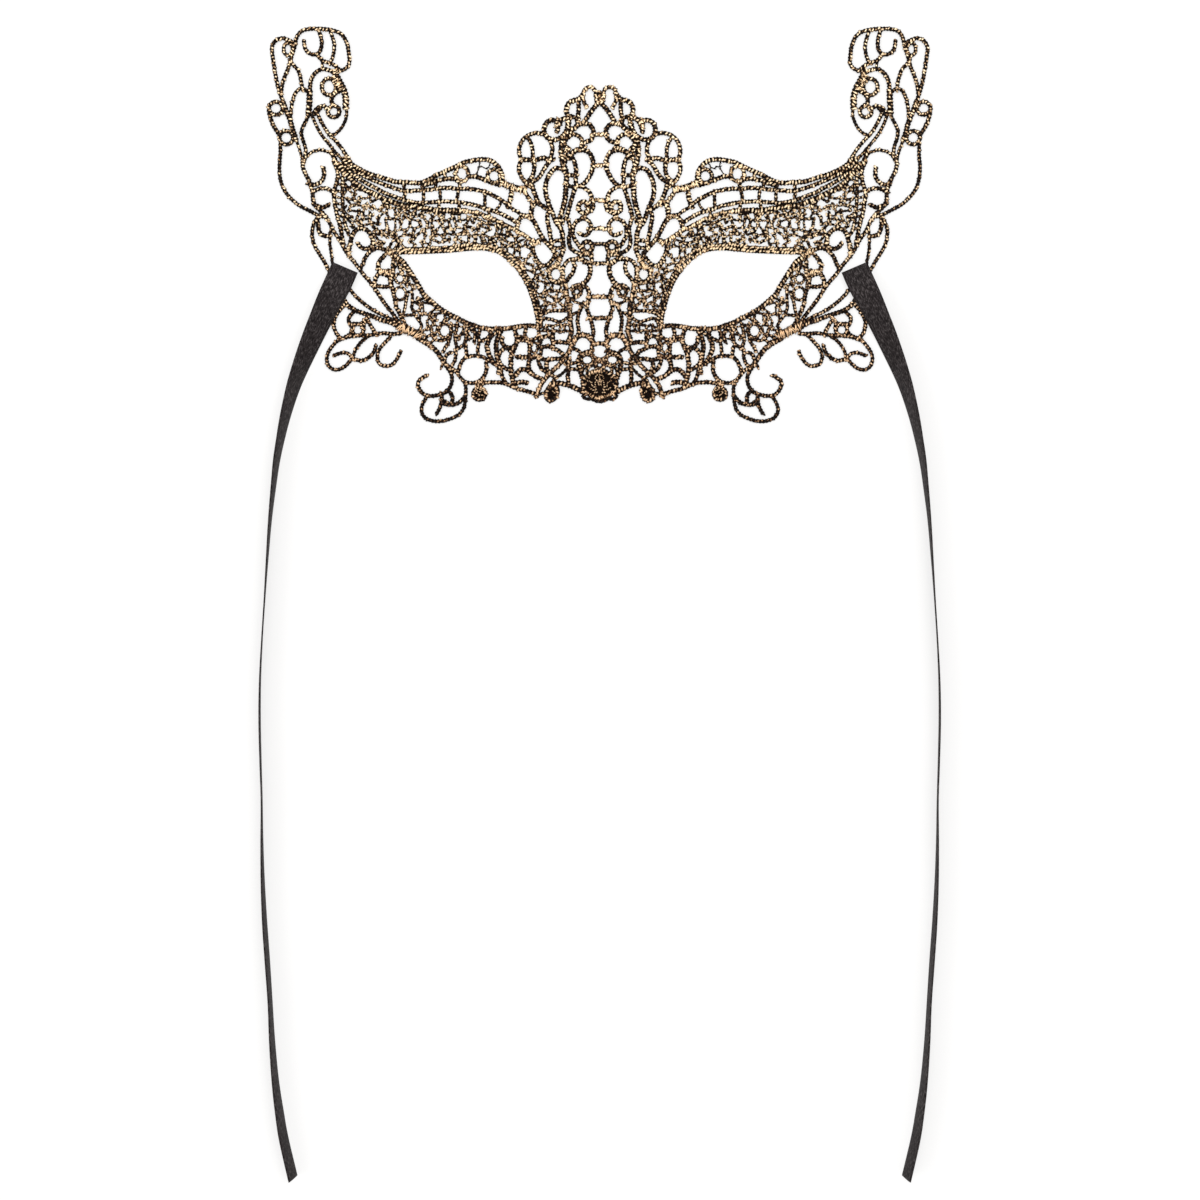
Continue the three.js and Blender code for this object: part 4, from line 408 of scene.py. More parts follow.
temple = {
    "temple arch": [1.7, 0.6, [69.5,-9.6, 71.5,-8.6, 73.6,-8, 75.6,-8.6, 77,-9.8, 78.2,-11.4, 78.7,-13,
        79.6,-14.6]],
    "temple loop two": [1.9, 0.6, [75.6,-8, 75.5,-6, 76,-4, 77.4,-2.2, 79,-1.5, 80.8,-1.8, 82.2,-3.3,
        82.9,-5.6, 83.4,-8]],
    "temple curl": [1.8, 0.6, [75.8,-7, 76.6,-8, 78.4,-8.3, 79.8,-7.6, 80.4,-6.7], [71.8,-10.6, 73,-12,
        73.9,-13.8, 73.4,-15.4], [73.4,-15.2, 72,-16, 70.4,-15.6]],
    "temple column": [1.7, 0.6, [68.6,-11.4, 68.9,-14, 68.8,-16.6, 69.4,-18.8, 69.2,-21, 68.6,-23.2,
        68.2,-25.4, 67.8,-27.6, 66.8,-29.6, 66,-31.4]],
    "temple hooks": [1.7, 0.6, [70,-17.8, 71.6,-16.8, 73.4,-16.6], [73.6,-16.4, 74.6,-18.2, 75,-20],
        [70,-20.8, 72,-21, 74.2,-20.6], [70,-17.6, 69.8,-19.4, 69.6,-21], [67.2,-12, 66.8,-14.2, 66,-15.8]],
    "temple net": [1.3, 0.6, [62.4,-23.4, 62.4,-26, 62.6,-28, 61.8,-29.8], [64,-23.8, 64.6,-26, 65,-28.4,
        65.6,-30.4], [61.6,-30.2, 63.4,-30.4, 65.4,-30.4], [65.6,-30.6, 65.4,-32.4, 64.2,-34], [61.6,-30.4,
        60.2,-32.2, 59.2,-34, 60.4,-35.6]],
}
# Small ties and knots, and the fine rows beside the nose
edge_threads = {
    "scallop": [1.4, 0.05, [0,-59.1, 1.2,-59, 2.3,-58.5], [3.6,-58.4, 4.2,-58.4, 4.8,-58.1, 5.3,-57.8]],
    "wing knot": [2.2, 0.08, [93.9,37.9, 94.9,36.9]],
    "crown knot": [1.7, 0.4, [0,43.4, 0,41.8]],
    "medallion stay": [1.3, 0.6, [1.6,-47.2, 2.8,-47.1, 3.8,-47.8, 4.2,-48.8, 4,-49.8]],
    "nose ground": [1.15, 0.5, [10,-34, 11.4,-33.3, 12.6,-34.1, 14.2,-33.5, 15.6,-34.3, 17,-33.7,
        18.6,-34.6], [9.8,-35.8, 11.6,-35.6, 13,-36, 15,-35.4, 17,-35.7, 19,-35.6], [11.6,-33.6,
        11.8,-35.6], [13,-34, 13.4,-36], [15.6,-34.4, 15.4,-36.2], [17.6,-34, 17.4,-35.8]],
    "medallion side": [1, 0.66, [3.5,-50.2, 3.9,-51.4, 4.2,-52.8, 4.9,-54.2]],
}
# Cords whose gold lies turn against turn
eye_rim = {
    "eye upper": [1.6, 0.93, rim_inside[ABOVE_EYE]],
    "eye upper edge": [1.5, 0.9, rim_outside[ABOVE_EYE]],
    "eye lower inner": [2.1, 0.66, [20.3,-34.3, 23.5,-33.9, 27,-34.2, 31,-34.9, 35,-35, 39,-34.8, 42,-33.8,
        45,-32.8]],
}
close_cords = {
    "brow five inner": [2.0, 0.8, [21.6,-6.2, 24,-4.6, 26.4,-3, 28.8,-1.6, 31.4,-0.4, 34.2,1, 37.4,2.4,
        40.8,3.6, 45,4.3]],
    "bar left": [1.9, 0.78, [25.2,11.4, 24.3,9.6, 23.1,8, 22.4,6.4]],
    "crown top": [1.8, 0.68, [1.4,42.8, 1.4,44.3, 2.5,45.4, 3.8,45.6, 5.1,44.6, 5.6,43, 5.5,41.4, 5.1,40.2,
        4.5,39.2]],
    "axis bars": [1.8, 0.76, [0,29.7, 2.2,29.7], [0,19.6, 2.1,19.6], [0,7.9, 2.6,7.9], [0,-1.6, 3.2,-1.6]],
    "axis bars thick": [2, 0.62, [0,-24.3, 3.4,-24.3], [0,-31.4, 3.2,-31.4]],
    "nose column": [2.3, 0.6, [12.2,-18.4, 11.5,-20.4, 11.1,-22.6, 10.9,-24.8, 10.1,-26.6, 10,-29, 10,-31.4,
        9.6,-33.8, 9.4,-36, 10,-38]],
    "tip arch": [2.6, 0.62, [2.4,-39.2, 3.4,-37.8, 5,-37.1, 6.8,-37.2, 8.2,-38.5, 9.2,-40.4]],
    "tip diagonal": [2.1, 0.6, [8.4,-38.6, 9.6,-41, 10.8,-43.4, 12.4,-45.6, 14.2,-47.6, 16,-49.4,
        17.8,-51.2, 19.2,-53, 20.2,-55, 20.8,-56.8]],
    "tip bow": [1.8, 0.6, [2.2,-40.4, 2.9,-42.2, 2.4,-44, 1.2,-45, 0,-45.2]],
}
# Satin stitch: filled corners, then the medallion's two bands, the berry's neck and a bar by the nose
patches = {
    "crown wedge": [2.2, 0.6, [14,34.3, 14.2,32.7]],
    "curl patch": [2.6, 0.95, [88.2,48.4, 86.6,45.4]],
    "satin bar": [3.1, 0.95, [25.9,11.4, 28.4,12, 31.2,13]],
    "root patch": [2.2, 0.9, [20.8,-6.2, 22.4,-6.6]],
    "heart patch": [2, 0.6, [3.4,-9.6, 4.6,-9.6]],
    "ring patch": [2.6, 0.95, [13.6,-12.2, 14.6,-13.8, 16.8,-15.2]],
    "cheek patch": [2.2, 0.6, [57,-40, 56,-41]],
    "fan root": [3.9, 1.2, [60.5,-37, 62.6,-36, 65.4,-34.7]],
    "corner patch": [2.4, 0.6, [68.6,-10.4, 70.2,-9.6]],
    "drop patch": [2, 0.95, [69.8,-16.6, 71.2,-16, 72.8,-16]],
    "temple patch": [2.2, 0.9, [83.5,-8, 83.6,-10]],
}
ornament_bands = {
    "medallion band": [1.6, 0.86, [0,-49.1, 1.4,-49.2, 2.8,-49.7, 3.9,-50.5]],
    "medallion base": [1.9, 0.7, [0,-57.9, 2,-57.5, 3.8,-56.8, 5.4,-55.7]],
    "berry neck": [2.2, 0.66, [39.3,-52.4, 40.5,-53.6]],
    "nose patch": [1.8, 0.95, [4.7,-26.4, 6.1,-27.2]],
}
# Threads that only lie on top of the ornaments
ornament_threads = {
    "medallion loops": [0.62, 0.95, [0.1,-50.7, 0.1,-52.2], [0.95,-50.6, 1.45,-51.2, 1.2,-52], [0.5,-52.6,
        0.4,-53.4], [1.1,-52.4, 1.55,-53.3, 1.3,-54.9], [3.1,-52.6, 2.5,-53.2, 2.7,-53.8, 2,-54.2],
        [1.7,-55.4, 2.5,-55.3, 3.3,-54.8]],
    # Pale gold dots: a ring of them in the berry, one in the oval, and one each side at the medallion's
    # foot, which is a painted glint
    "pale dots": [0.6, 1.1, [37.9,-55.5, 38.1,-55.3], [38.8,-55.4, 39.1,-55.3], [40.1,-55.9, 40.5,-55.8],
        [40.6,-56.7, 40.8,-56.5], [39.4,-57.1, 39.8,-57.1], [15.2,-56.2, 15.4,-56], [1.2,-56.2, 1.4,-56.2]],
}
# Rings: width and share of gold, then each ring's centre x and y, its two radii and its lean if any
rings = {
    "curl ring": [1.7, 0.6, [90.2, 45.6, 2.4, 2.8]],
    "curl ring low": [1.7, 0.6, [88.6, 37.4, 2, 1.95]],
    "outer eye": [1.5, 0.6, [103.8, 58.2, 1.5, 2.1]],
    "outer rings": [1.7, 0.6, [107.9, 38.5, 2.3, 2.2], [104.4, 28.7, 2.3, 2.3]],
    "hump ring": [1.7, 0.72, [35.2, 15.9, 2.2, 2.3]],
    "crown boss": [1.7, 0.6, [0, 41.4, 1.2, 1.2]],
    "rosette": [2, 0.78, [5.4, 5.5, 1.7, 1.9]],
    "heart ring": [2, 0.6, [4.1, -7.6, 1.75, 1.75]],
    "leaf ring": [2, 0.86, [14.6, -16.8, 2.3, 2.6]],
    "nose diamond": [1.6, 0.6, [7.6, -22.7, 1.3, 1.45]],
    "tip rings": [1.3, 0.6, [4.2, -45.3, 2, 1.7]],
    "tip ring low": [1.8, 0.6, [0, -47, 1.5, 1.35]],
    "net ring": [1.1, 0.6, [21.8, -41.2, 1.2, 1.8]],
    "berry": [1.6, 0.72, [40.1, -56.6, 2.1, 2.1]],
    "cheek ring": [1.3, 0.6, [51.6, -35.6, 2, 2.3]],
    "fan ring": [1.5, 0.6, [80.6, -35.3, 1.9, 1.9]],
    "temple rings": [1.2, 0.6, [66.6, -18.2, 1.6, 1.6], [66.5, -23.2, 2, 2.2]],
}
close_rings = {
    "hump diamond": [1.8, 0.6, [45.9, 16.7, 2.2, 2.6]],
    "oval ornament": [2, 0.64, [15.9, -56.4, 1.8, 2.7, 24]],
}
# The outlines of the ground net, as x,y pairs
net_regions = {
    "brow ground": [22.5,-7.5, 26.4,-3.2, 34.2,0.8, 40.8,3.4, 50,4.2, 59,5.1, 67,6.4, 74.5,9.4, 80.5,12.7,
        85,17, 85.6,7, 85,1, 84,-2.5, 81.6,-1.8, 79,-1.3, 76.6,-3, 75.5,-6, 75.5,-8.2, 73.6,-8, 69.5,-9.8,
        61,-9, 50,-8.2, 40.2,-7.3, 36,-8, 32.5,-9.8, 28,-13.5, 24.6,-18.6, 22,-24.6, 20.3,-31, 17,-29.2,
        10.2,-28.8, 10.6,-25, 11.5,-20.4, 12.2,-18.6, 14.6,-19.5, 16.9,-17, 18.5,-14.1, 20,-13.2,
        21.8,-10.6, 22.3,-8],
    "temple ground": [68.4,-11, 65.6,-12.6, 61.8,-18.2, 58.6,-23.6, 53.8,-27.8, 51,-29.7, 49.6,-33.6,
        53.4,-33.6, 53.6,-37.6, 50,-38, 51.4,-41, 54,-42.6, 58,-39.6, 60.4,-37.8, 60.2,-35.4, 59.2,-34,
        60.2,-32.2, 61.8,-29.8, 62.6,-28, 62.4,-23.4, 64,-23.8, 64.8,-20.5, 65,-18, 66,-16, 68.8,-15],
    "cheek ground": [40.4,-35.4, 44,-34, 49.4,-32.4, 49.6,-36, 48,-38, 48,-39.4, 47.6,-41.2, 44.8,-41,
        44.4,-38, 42,-39.4, 40.3,-39.4],
}


def add(tree, kind, inputs=None, **settings):
    """Adds a node with its settings; inputs gives a socket a value, or another node's output"""
    node = tree.nodes.new(kind)
    for name, value in settings.items():
        setattr(node, name, value)
    for key, value in (inputs or {}).items():
        if isinstance(value, bpy.types.NodeSocket):
            tree.links.new(value, node.inputs[key])
        else:
            node.inputs[key].default_value = value
    return node


def result(tree, kind, inputs=None, **settings):
    """The first output of a new node"""
    return add(tree, kind, inputs, **settings).outputs[0]


def maths(tree, operation, *terms, **settings):
    """The result of a Math node with these terms"""
    return result(tree, "ShaderNodeMath", dict(enumerate(terms)), operation=operation, **settings)


def colour(code):
    """An sRGB hex colour as linear red, green, blue and alpha"""
    parts = [int(code[i:i + 2], 16) / 255 for i in (1, 3, 5)]
    return [c / 12.92 if c <= 0.04045 else ((c + 0.055) / 1.055) ** 2.4 for c in parts] + [1.0]


def attribute(tree, name):
    """A value that the thread's own mesh holds"""
    return add(tree, "ShaderNodeAttribute", attribute_name=name).outputs["Fac"]


def noise(tree, place, scale, detail, roughness=0.5):
    inputs = {"Vector": place, "Scale": scale, "Detail": detail, "Roughness": roughness}
    return add(tree, "ShaderNodeTexNoise", inputs).outputs["Fac"]


def mapped(tree, value, given, wanted):
    """A value carried over from the given range to the wanted one"""
    ends = dict(zip(("From Min", "From Max", "To Min", "To Max"), given + wanted))
    return result(tree, "ShaderNodeMapRange", {"Value": value, **ends})


def ramp(tree, value, stops):
    """The colour that a value has among the stops, each a place and a hex colour"""
    node = add(tree, "ShaderNodeValToRGB", {"Fac": value})
    elements = node.color_ramp.elements
    while len(elements) < len(stops):
        elements.new(0.5)
    for element, (place, code) in zip(elements, stops):
        element.position = place
        element.color = colour(code)
    return node.outputs["Color"]


def new_material(name):
    """An empty material and its node tree"""
    material = bpy.data.materials.new(name)
    material.use_nodes = True
    material.node_tree.nodes.clear()
    return material, material.node_tree


def end_material(tree, values, relief=None, strength=0.0, depth=0.0):
    """Ends a material in one shader with these values, and with bumps where relief is given"""
    if relief is not None:
        bump = add(tree, "ShaderNodeBump", {"Height": relief, "Strength": strength, "Distance": depth})
        values = {**values, "Normal": bump.outputs["Normal"]}
    shader = add(tree, "ShaderNodeBsdfPrincipled", values)
    add(tree, "ShaderNodeOutputMaterial", {"Surface": shader.outputs["BSDF"]})


def gold_thread():
    """Metallised gold film wound on black polyester: it glints in short streaks, and each stitch is painted
    lighter or darker at random, partly its own tone and partly painted glints; the film is worn and
    tarnished to bronze and near black in places, most of all low on the mask"""
    material, tree = new_material("gold lurex thread")
    place = add(tree, "ShaderNodeTexCoord").outputs["Object"]
    # Each stitch's random draw, spark, paints it lighter or darker: partly random tone, partly painted
    # glints
    tone_and_glint = maths(tree, "MULTIPLY_ADD", attribute(tree, "spark"), 0.74, -0.27)
    # Patches of wear a few stitches long, 3 to 4 mm across
    wear = maths(tree, "MULTIPLY_ADD", noise(tree, place, 280.0, 2.0), 0.6, -0.3)
    # Breaks within one stitch, drawn at 0.6 mm where real film cracks are finer, so that they show
    flecks = noise(tree, place, 1600.0, 1.0)
    cracks = maths(tree, "MULTIPLY_ADD", flecks, 2.1, -1.05)
    # Painted light and shade: each turn is painted a little lighter along the cord's middle and darker
    # towards its two edges, where the turn curls down out of the light
    edge = mapped(tree, attribute(tree, "side"), (0.26, 0.8), (0.12, -0.7))
    share = maths(tree, "ADD", maths(tree, "ADD", attribute(tree, "tone"), tone_and_glint), edge)
    gold = maths(tree, "ADD", maths(tree, "ADD", wear, cracks), share, use_clamp=True)
    pale = ramp(tree, gold, [(0.0, "#050302"), (0.36, "#160c06"), (0.51, "#6c4e34"), (0.68, "#b38e65"),
                             (0.95, "#fbe3bd")])
    bronze = ramp(tree, gold, [(0.0, "#050302"), (0.38, "#160b05"), (0.54, "#60412c"), (0.72, "#977352"),
                               (1.0, "#dcbb96")])
    along = add(tree, "ShaderNodeSeparateXYZ", {"Vector": place}).outputs["Y"]
    low = mapped(tree, along, (0.0, -0.036), (0.0, 1.0))
    mixed = add(tree, "ShaderNodeMix", {0: low, 6: pale, 7: bronze}, data_type="RGBA").outputs[2]
    end_material(tree, {"Base Color": mixed, "Roughness": mapped(tree, gold, (0.0, 1.0), (0.62, 0.34)),
                        "Metallic": mapped(tree, gold, (0.3, 0.6), (0.0, 0.85)),
                        "Specular IOR Level": 0.2}, flecks, 0.35, 0.0002)
    return material


def core_thread():
    """Black spun polyester, the filling under the gold: dull, with a brown cast where the film sheds"""
    material, tree = new_material("black polyester core thread")
    place = add(tree, "ShaderNodeTexCoord").outputs["Object"]
    # Fibres show as a grain of 0.4 mm, coarser than the real 0.02 mm
    grain = noise(tree, place, 2500.0, 2.0)
    shade = ramp(tree, grain, [(0.35, "#060403"), (0.65, "#1a0f09")])
    end_material(tree, {"Base Color": shade, "Roughness": 0.85, "Specular IOR Level": 0.05},
                 grain, 0.5, 0.0002)
    return material


def satin():
    """Black polyester satin, woven: charcoal in the light, with fine pale specks of painted sheen where a
    float catches it
    """
    material, tree = new_material("black satin ribbon")
    uv = add(tree, "ShaderNodeUVMap", uv_map="cloth").outputs["UV"]
    # Each float is drawn at 0.45 by 1.4 mm, some five times a real one, so that it shows, both as a bump
    # and as pale specks of painted sheen;
    #     the cloth's own clouds are 8 mm wide
    stretched = result(tree, "ShaderNodeMapping", {"Vector": uv, "Scale": (2200.0, 700.0, 1.0)})
    floats_and_sheen = noise(tree, stretched, 1.0, 3.0, 0.7)
    mixed = maths(tree, "MULTIPLY_ADD", noise(tree, uv, 120.0, 2.0), 0.18, floats_and_sheen)
    # Painted sheen: the lightest stop colours the pale specks where a float catches the light
    shade = ramp(tree, mixed, [(0.415, "#120f10"), (0.595, "#242020"), (0.735, "#4c4747")])
    end_material(tree, {"Base Color": shade, "Roughness": 0.6, "Specular IOR Level": 0.04},
                 floats_and_sheen, 0.25, 0.0001)
    return material


def floor_paint():
    """Matt white board, with a little light of its own so that no shadow greys the fine meshes"""
    material, tree = new_material("matt white board")
    end_material(tree, {"Base Color": colour("#979695"), "Roughness": 0.9, "Specular IOR Level": 0.1,
                        "Emission Color": colour("#ffffff"), "Emission Strength": 0.62})
    return material


def camera_above():
    """Straight over the mask, with the crown away from the viewer"""
    data = bpy.data.cameras.new("camera")
    data.lens = 100
    data.sensor_width = 36
    camera = bpy.data.objects.new("camera", data)
    camera.location = (*VIEW_MIDDLE, VIEW_WIDTH * data.lens / data.sensor_width)
    bpy.context.scene.collection.objects.link(camera)
    bpy.context.scene.camera = camera


def new_piece(name, mesh):
    piece = bpy.data.objects.new(name, mesh)
    bpy.context.scene.collection.objects.link(piece)
    return piece


def new_surface(name, vertices, faces, finish):
    mesh = bpy.data.meshes.new(name)
    mesh.from_pydata(vertices, [], faces)
    mesh.materials.append(finish)
    return mesh


def put_in_frame(piece, node):
    """Lets a piece stand for a node of the CAD, on the body that the whole mask rides"""
    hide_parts(node)
    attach(piece, "root")


def on_spline(points, share):
    """A smooth line's place at share of its way, through points of any number of values"""
    at = share * (len(points) - 1)
    i = min(int(at), len(points) - 2)
    t = at - i
    b, c = points[i], points[i + 1]
    a = points[i - 1] if i > 0 else [2 * p - q for p, q in zip(b, c)]
    d = points[i + 2] if i + 2 < len(points) else [2 * q - p for p, q in zip(b, c)]
    return [0.5 * (2 * q + (r - p) * t + (2 * p - 5 * q + 4 * r - s) * t * t
                   + (3 * q - p - 3 * r + s) * t ** 3) for p, q, r, s in zip(a, b, c, d)]


def ribbon_frame(share):
    """The ribbon's middle, the way along it, the way across it and the way its face looks"""
    nearby = 0.002
    x, y, z, roll = on_spline(RIBBON_ROUTE, share)
    ahead = Vector(on_spline(RIBBON_ROUTE, min(share + nearby, 1))[:3])
    behind = Vector(on_spline(RIBBON_ROUTE, max(share - nearby, 0))[:3])
    along = (ahead - behind).normalized()
    outward = Vector((-along.y, along.x, 0)).normalized()
    up = outward.cross(along)
    roll = math.radians(roll)
    wide = outward * math.cos(roll) - up * math.sin(roll)
    face = outward * math.sin(roll) + up * math.cos(roll)
    return Vector((x, y + PATTERN_LIFT, z)), along, wide, face


def in_metres(points, sign):
    """Points in millimetres as tuples in metres, for the right side or mirrored for the left"""
    return [(p.x * sign * MM, p.y * MM, p.z * MM) for p in points]


def ribbon(side, finish):
    """A woven strip along the route: it lies flat where it is sewn on, then turns on its edge"""
    sign = 1 if side == "right" else -1
    centres, points = [], []
    for row in range(RIBBON_ROWS + 1):
        share = row / RIBBON_ROWS
        middle, along, wide, face = ribbon_frame(share)
        centres.append(middle)
        for k in range(RIBBON_ACROSS + 1):
            u = 2 * k / RIBBON_ACROSS - 1
            cup = RIBBON_CUP * u * u
            cup += RIPPLE_HEIGHT * math.sin(share * RIPPLE_ANGLE + u * RIPPLE_SHEAR)
            point = middle + wide * (u * RIBBON_WIDTH / 2) + face * cup
            if row == RIBBON_ROWS:
                point += along * (u * RIBBON_END_SLANT)
            points.append(point)
    lengths = [0.0]
    for a, b in zip(centres, centres[1:]):
        lengths.append(lengths[-1] + (b - a).length)
    count = RIBBON_ACROSS + 1
    faces = []
    for i in range(RIBBON_ROWS):
        for k in range(RIBBON_ACROSS):
            face = (i * count + k, i * count + k + 1, (i + 1) * count + k + 1, (i + 1) * count + k)
            faces.append(face[::-sign])
    mesh = new_surface("ribbon", in_metres(points, sign), faces, finish)
    cloth = mesh.uv_layers.new(name="cloth")
    for loop in mesh.loops:
        i, k = divmod(loop.vertex_index, count)
        cloth.data[loop.index].uv = (k / RIBBON_ACROSS * RIBBON_WIDTH * MM, lengths[i] * MM)
    mesh.shade_smooth()
    piece = new_piece("satin_ribbon_" + side, mesh)
    thickness = piece.modifiers.new("cloth", "SOLIDIFY")
    thickness.thickness = RIBBON_THICKNESS * MM
    thickness.offset = 0
    put_in_frame(piece, "ribbon_" + side)


def named(tree, name):
    """A value that every point of the lines has"""
    node = add(tree, "GeometryNodeInputNamedAttribute", {"Name": name}, data_type="FLOAT")
    return node.outputs["Attribute"]


def place_of(tree, axis):
    """A point's place along one axis"""
    spot = result(tree, "GeometryNodeInputPosition")
    return add(tree, "ShaderNodeSeparateXYZ", {"Vector": spot}).outputs[axis]


def with_height(tree, geometry, height):
    """The geometry with each point moved straight up or down to this height"""
    place = result(tree, "ShaderNodeCombineXYZ", {"X": place_of(tree, "X"), "Y": place_of(tree, "Y"),
                                                  "Z": height})
    return result(tree, "GeometryNodeSetPosition", {"Geometry": geometry, "Position": place})


def with_value(tree, geometry, name, value):
    """The geometry with a value stored on every point"""
    return result(tree, "GeometryNodeStoreNamedAttribute",
                  {"Geometry": geometry, "Name": name, "Value": value}, data_type="FLOAT", domain="POINT")


def with_finish(tree, geometry, finish):
    return result(tree, "GeometryNodeSetMaterial", {"Geometry": geometry, "Material": finish})


def random_number(tree, low, high, seed):
    node = add(tree, "FunctionNodeRandomValue", {2: low, 3: high, "Seed": seed}, data_type="FLOAT")
    return node.outputs[1]


def random_way(tree, reach, seed):
    """A vector whose every value lies between minus and plus that of reach"""
    low = tuple(-value for value in reach)
    return result(tree, "FunctionNodeRandomValue", {0: low, 1: reach, "Seed": seed},
                  data_type="FLOAT_VECTOR")


def stitch_tree():
    """Geometry Nodes: each line becomes a core thread with slanted rings of gold thread round it"""
    tree = bpy.data.node_groups.new("thread wound on cords", "GeometryNodeTree")
    sockets = [("Lines", "Geometry"), ("Pitch", "Float"), ("Half width", "Float"), ("Slant", "Float"),
               ("Swell", "Float"), ("Stray", "Float"), ("Seed", "Int"), ("Core", "Material"),
               ("Gold", "Material")]
    for name, kind in sockets:
        tree.interface.new_socket(name, in_out="INPUT", socket_type="NodeSocket" + kind)
    tree.interface.new_socket("Lace", in_out="OUTPUT", socket_type="NodeSocketGeometry")
    given = add(tree, "NodeGroupInput").outputs
    width, height, middle = (named(tree, name) for name in ("width", "height", "middle"))
    lines = result(tree, "GeometryNodeMeshToCurve", {"Mesh": given["Lines"]})
    level = result(tree, "GeometryNodeSetCurveNormal", {"Curve": lines}, mode="Z_UP")
    fine = result(tree, "GeometryNodeResampleCurve", {"Curve": level, "Length": given["Pitch"]},
                  mode="LENGTH")

    # The core thread, six-sided: the gold pulls it in at each turn and it swells out half way between
    halved = result(tree, "GeometryNodeSubdivideCurve", {"Curve": fine, "Cuts": 1})
    number = add(tree, "GeometryNodeSplineParameter").outputs["Index"]
    between = maths(tree, "MODULO", number, 2.0)
    swell = maths(tree, "MULTIPLY_ADD", between, given["Swell"], 1.0)
    section = result(tree, "GeometryNodeCurvePrimitiveCircle", {"Resolution": 6, "Radius": 1.0})
    core = result(tree, "GeometryNodeCurveToMesh", {
        "Curve": halved, "Profile Curve": section, "Fill Caps": True,
        "Scale": maths(tree, "MULTIPLY", named(tree, "core"), swell)})
    # It is pressed flat between the turns, about the cord's own middle height
    above = maths(tree, "SUBTRACT", place_of(tree, "Z"), middle)
    flat = maths(tree, "MULTIPLY", above, maths(tree, "DIVIDE", height, width))
    pressed = maths(tree, "MULTIPLY_ADD", flat, CORE_FLATNESS, middle)
    core = with_finish(tree, with_height(tree, core, pressed), given["Core"])

    # One turn of gold thread as an eight-sided ring of outer radius 1, tilted about the upright
    turn = result(tree, "GeometryNodeCurvePrimitiveCircle", {"Resolution": 8, "Radius": 1 - TURN_THREAD})
    thread = result(tree, "GeometryNodeCurvePrimitiveCircle", {"Resolution": 4, "Radius": TURN_THREAD})
    ring = result(tree, "GeometryNodeCurveToMesh", {"Curve": turn, "Profile Curve": thread})
    tilt = result(tree, "ShaderNodeCombineXYZ", {"Y": given["Slant"]})
    leaning = result(tree, "GeometryNodeTransform", {"Geometry": ring, "Rotation": tilt})
    # side: how far across the cord each point of a turn lies, which the gold's colour reads to paint shade
    # towards the cord's edges
    sided = with_value(tree, leaning, "side", maths(tree, "ABSOLUTE", place_of(tree, "X")))
    soft = result(tree, "GeometryNodeSetShadeSmooth", {"Geometry": sided})

    # The turns, one at every pitch, each a little off in place, size and lean
    spots = add(tree, "GeometryNodeCurveToPoints", {"Curve": fine}, mode="EVALUATED")
    # A random draw for each turn, which the gold's colour uses both as random tone and as painted glints
    spark = random_number(tree, 0.0, 1.0, given["Seed"])
    marked = with_value(tree, spots.outputs["Points"], "spark", spark)
    way = random_way(tree, (1.0, 1.0, 0.0), maths(tree, "ADD", given["Seed"], STRAY_SEED))
    stray = result(tree, "ShaderNodeVectorMath", {0: way, "Scale": given["Stray"]}, operation="SCALE")
    strayed = result(tree, "GeometryNodeSetPosition", {"Geometry": marked, "Offset": stray})
    size = random_number(tree, *TURN_SIZES, given["Seed"])
    scale = result(tree, "ShaderNodeCombineXYZ", {
        "X": maths(tree, "MULTIPLY", width, size), "Y": maths(tree, "MULTIPLY", height, 0.5),
        "Z": maths(tree, "DIVIDE", given["Half width"], TURN_THREAD)})
    lean = result(tree, "FunctionNodeEulerToRotation",
                  {"Euler": random_way(tree, TURN_LEAN, given["Seed"])})
    turned = result(tree, "FunctionNodeRotateRotation",
                    {"Rotation": spots.outputs["Rotation"], "Rotate By": lean}, rotation_space="LOCAL")
    placed = result(tree, "GeometryNodeInstanceOnPoints",
                    {"Points": strayed, "Instance": soft, "Rotation": turned, "Scale": scale})
    real = result(tree, "GeometryNodeRealizeInstances", {"Geometry": placed})
    # A turn that would sink into the table is pressed flat on it
    laid = with_height(tree, real, maths(tree, "MAXIMUM", place_of(tree, "Z"), 0.0))
    both = add(tree, "GeometryNodeJoinGeometry", {0: with_finish(tree, laid, given["Gold"])})
    tree.links.new(core, both.inputs[0])
    add(tree, "NodeGroupOutput", {"Lace": both.outputs[0]})
    return tree


def smooth_route(flat, width):
    """Points close together on a smooth line, which reaches past both ends into the cords it meets"""
    knots = [(flat[i], flat[i + 1]) for i in range(0, len(flat), 2)]
    count = max(2, math.ceil(sum(math.dist(a, b) for a, b in zip(knots, knots[1:])) / CURVE_STEP))
    line = [on_spline(knots, i / count) for i in range(count + 1)]
    for end, beside in ((0, 1), (-1, -2)):
        gap = math.dist(line[end], line[beside])
        reach = 1 + width * END_REACH / gap
        line[end] = [b + (e - b) * reach for e, b in zip(line[end], line[beside])]
    return line


def ring_route(centre_x, centre_y, radius_x, radius_y, lean=0):
    """An oval's line; lean turns it, in degrees, from the crown towards the nose"""
    turns = [2 * math.pi * i / RING_POINTS for i in range(RING_POINTS)]
    flat = [(radius_x * math.cos(t), radius_y * math.sin(t)) for t in turns]
    c, s = math.cos(math.radians(lean)), math.sin(math.radians(lean))
    return [(centre_x + x * c - y * s, centre_y + x * s + y * c) for x, y in flat]


def inside(region, x, y):
    """Whether a point lies within a region's outline"""
    within = False
    corners = list(zip(region[::2], region[1::2]))
    for (ax, ay), (bx, by) in zip(corners, corners[-1:] + corners[:-1]):
        if (ay > y) != (by > y) and x < ax + (bx - ax) * (y - ay) / (by - ay):
            within = not within
    return within


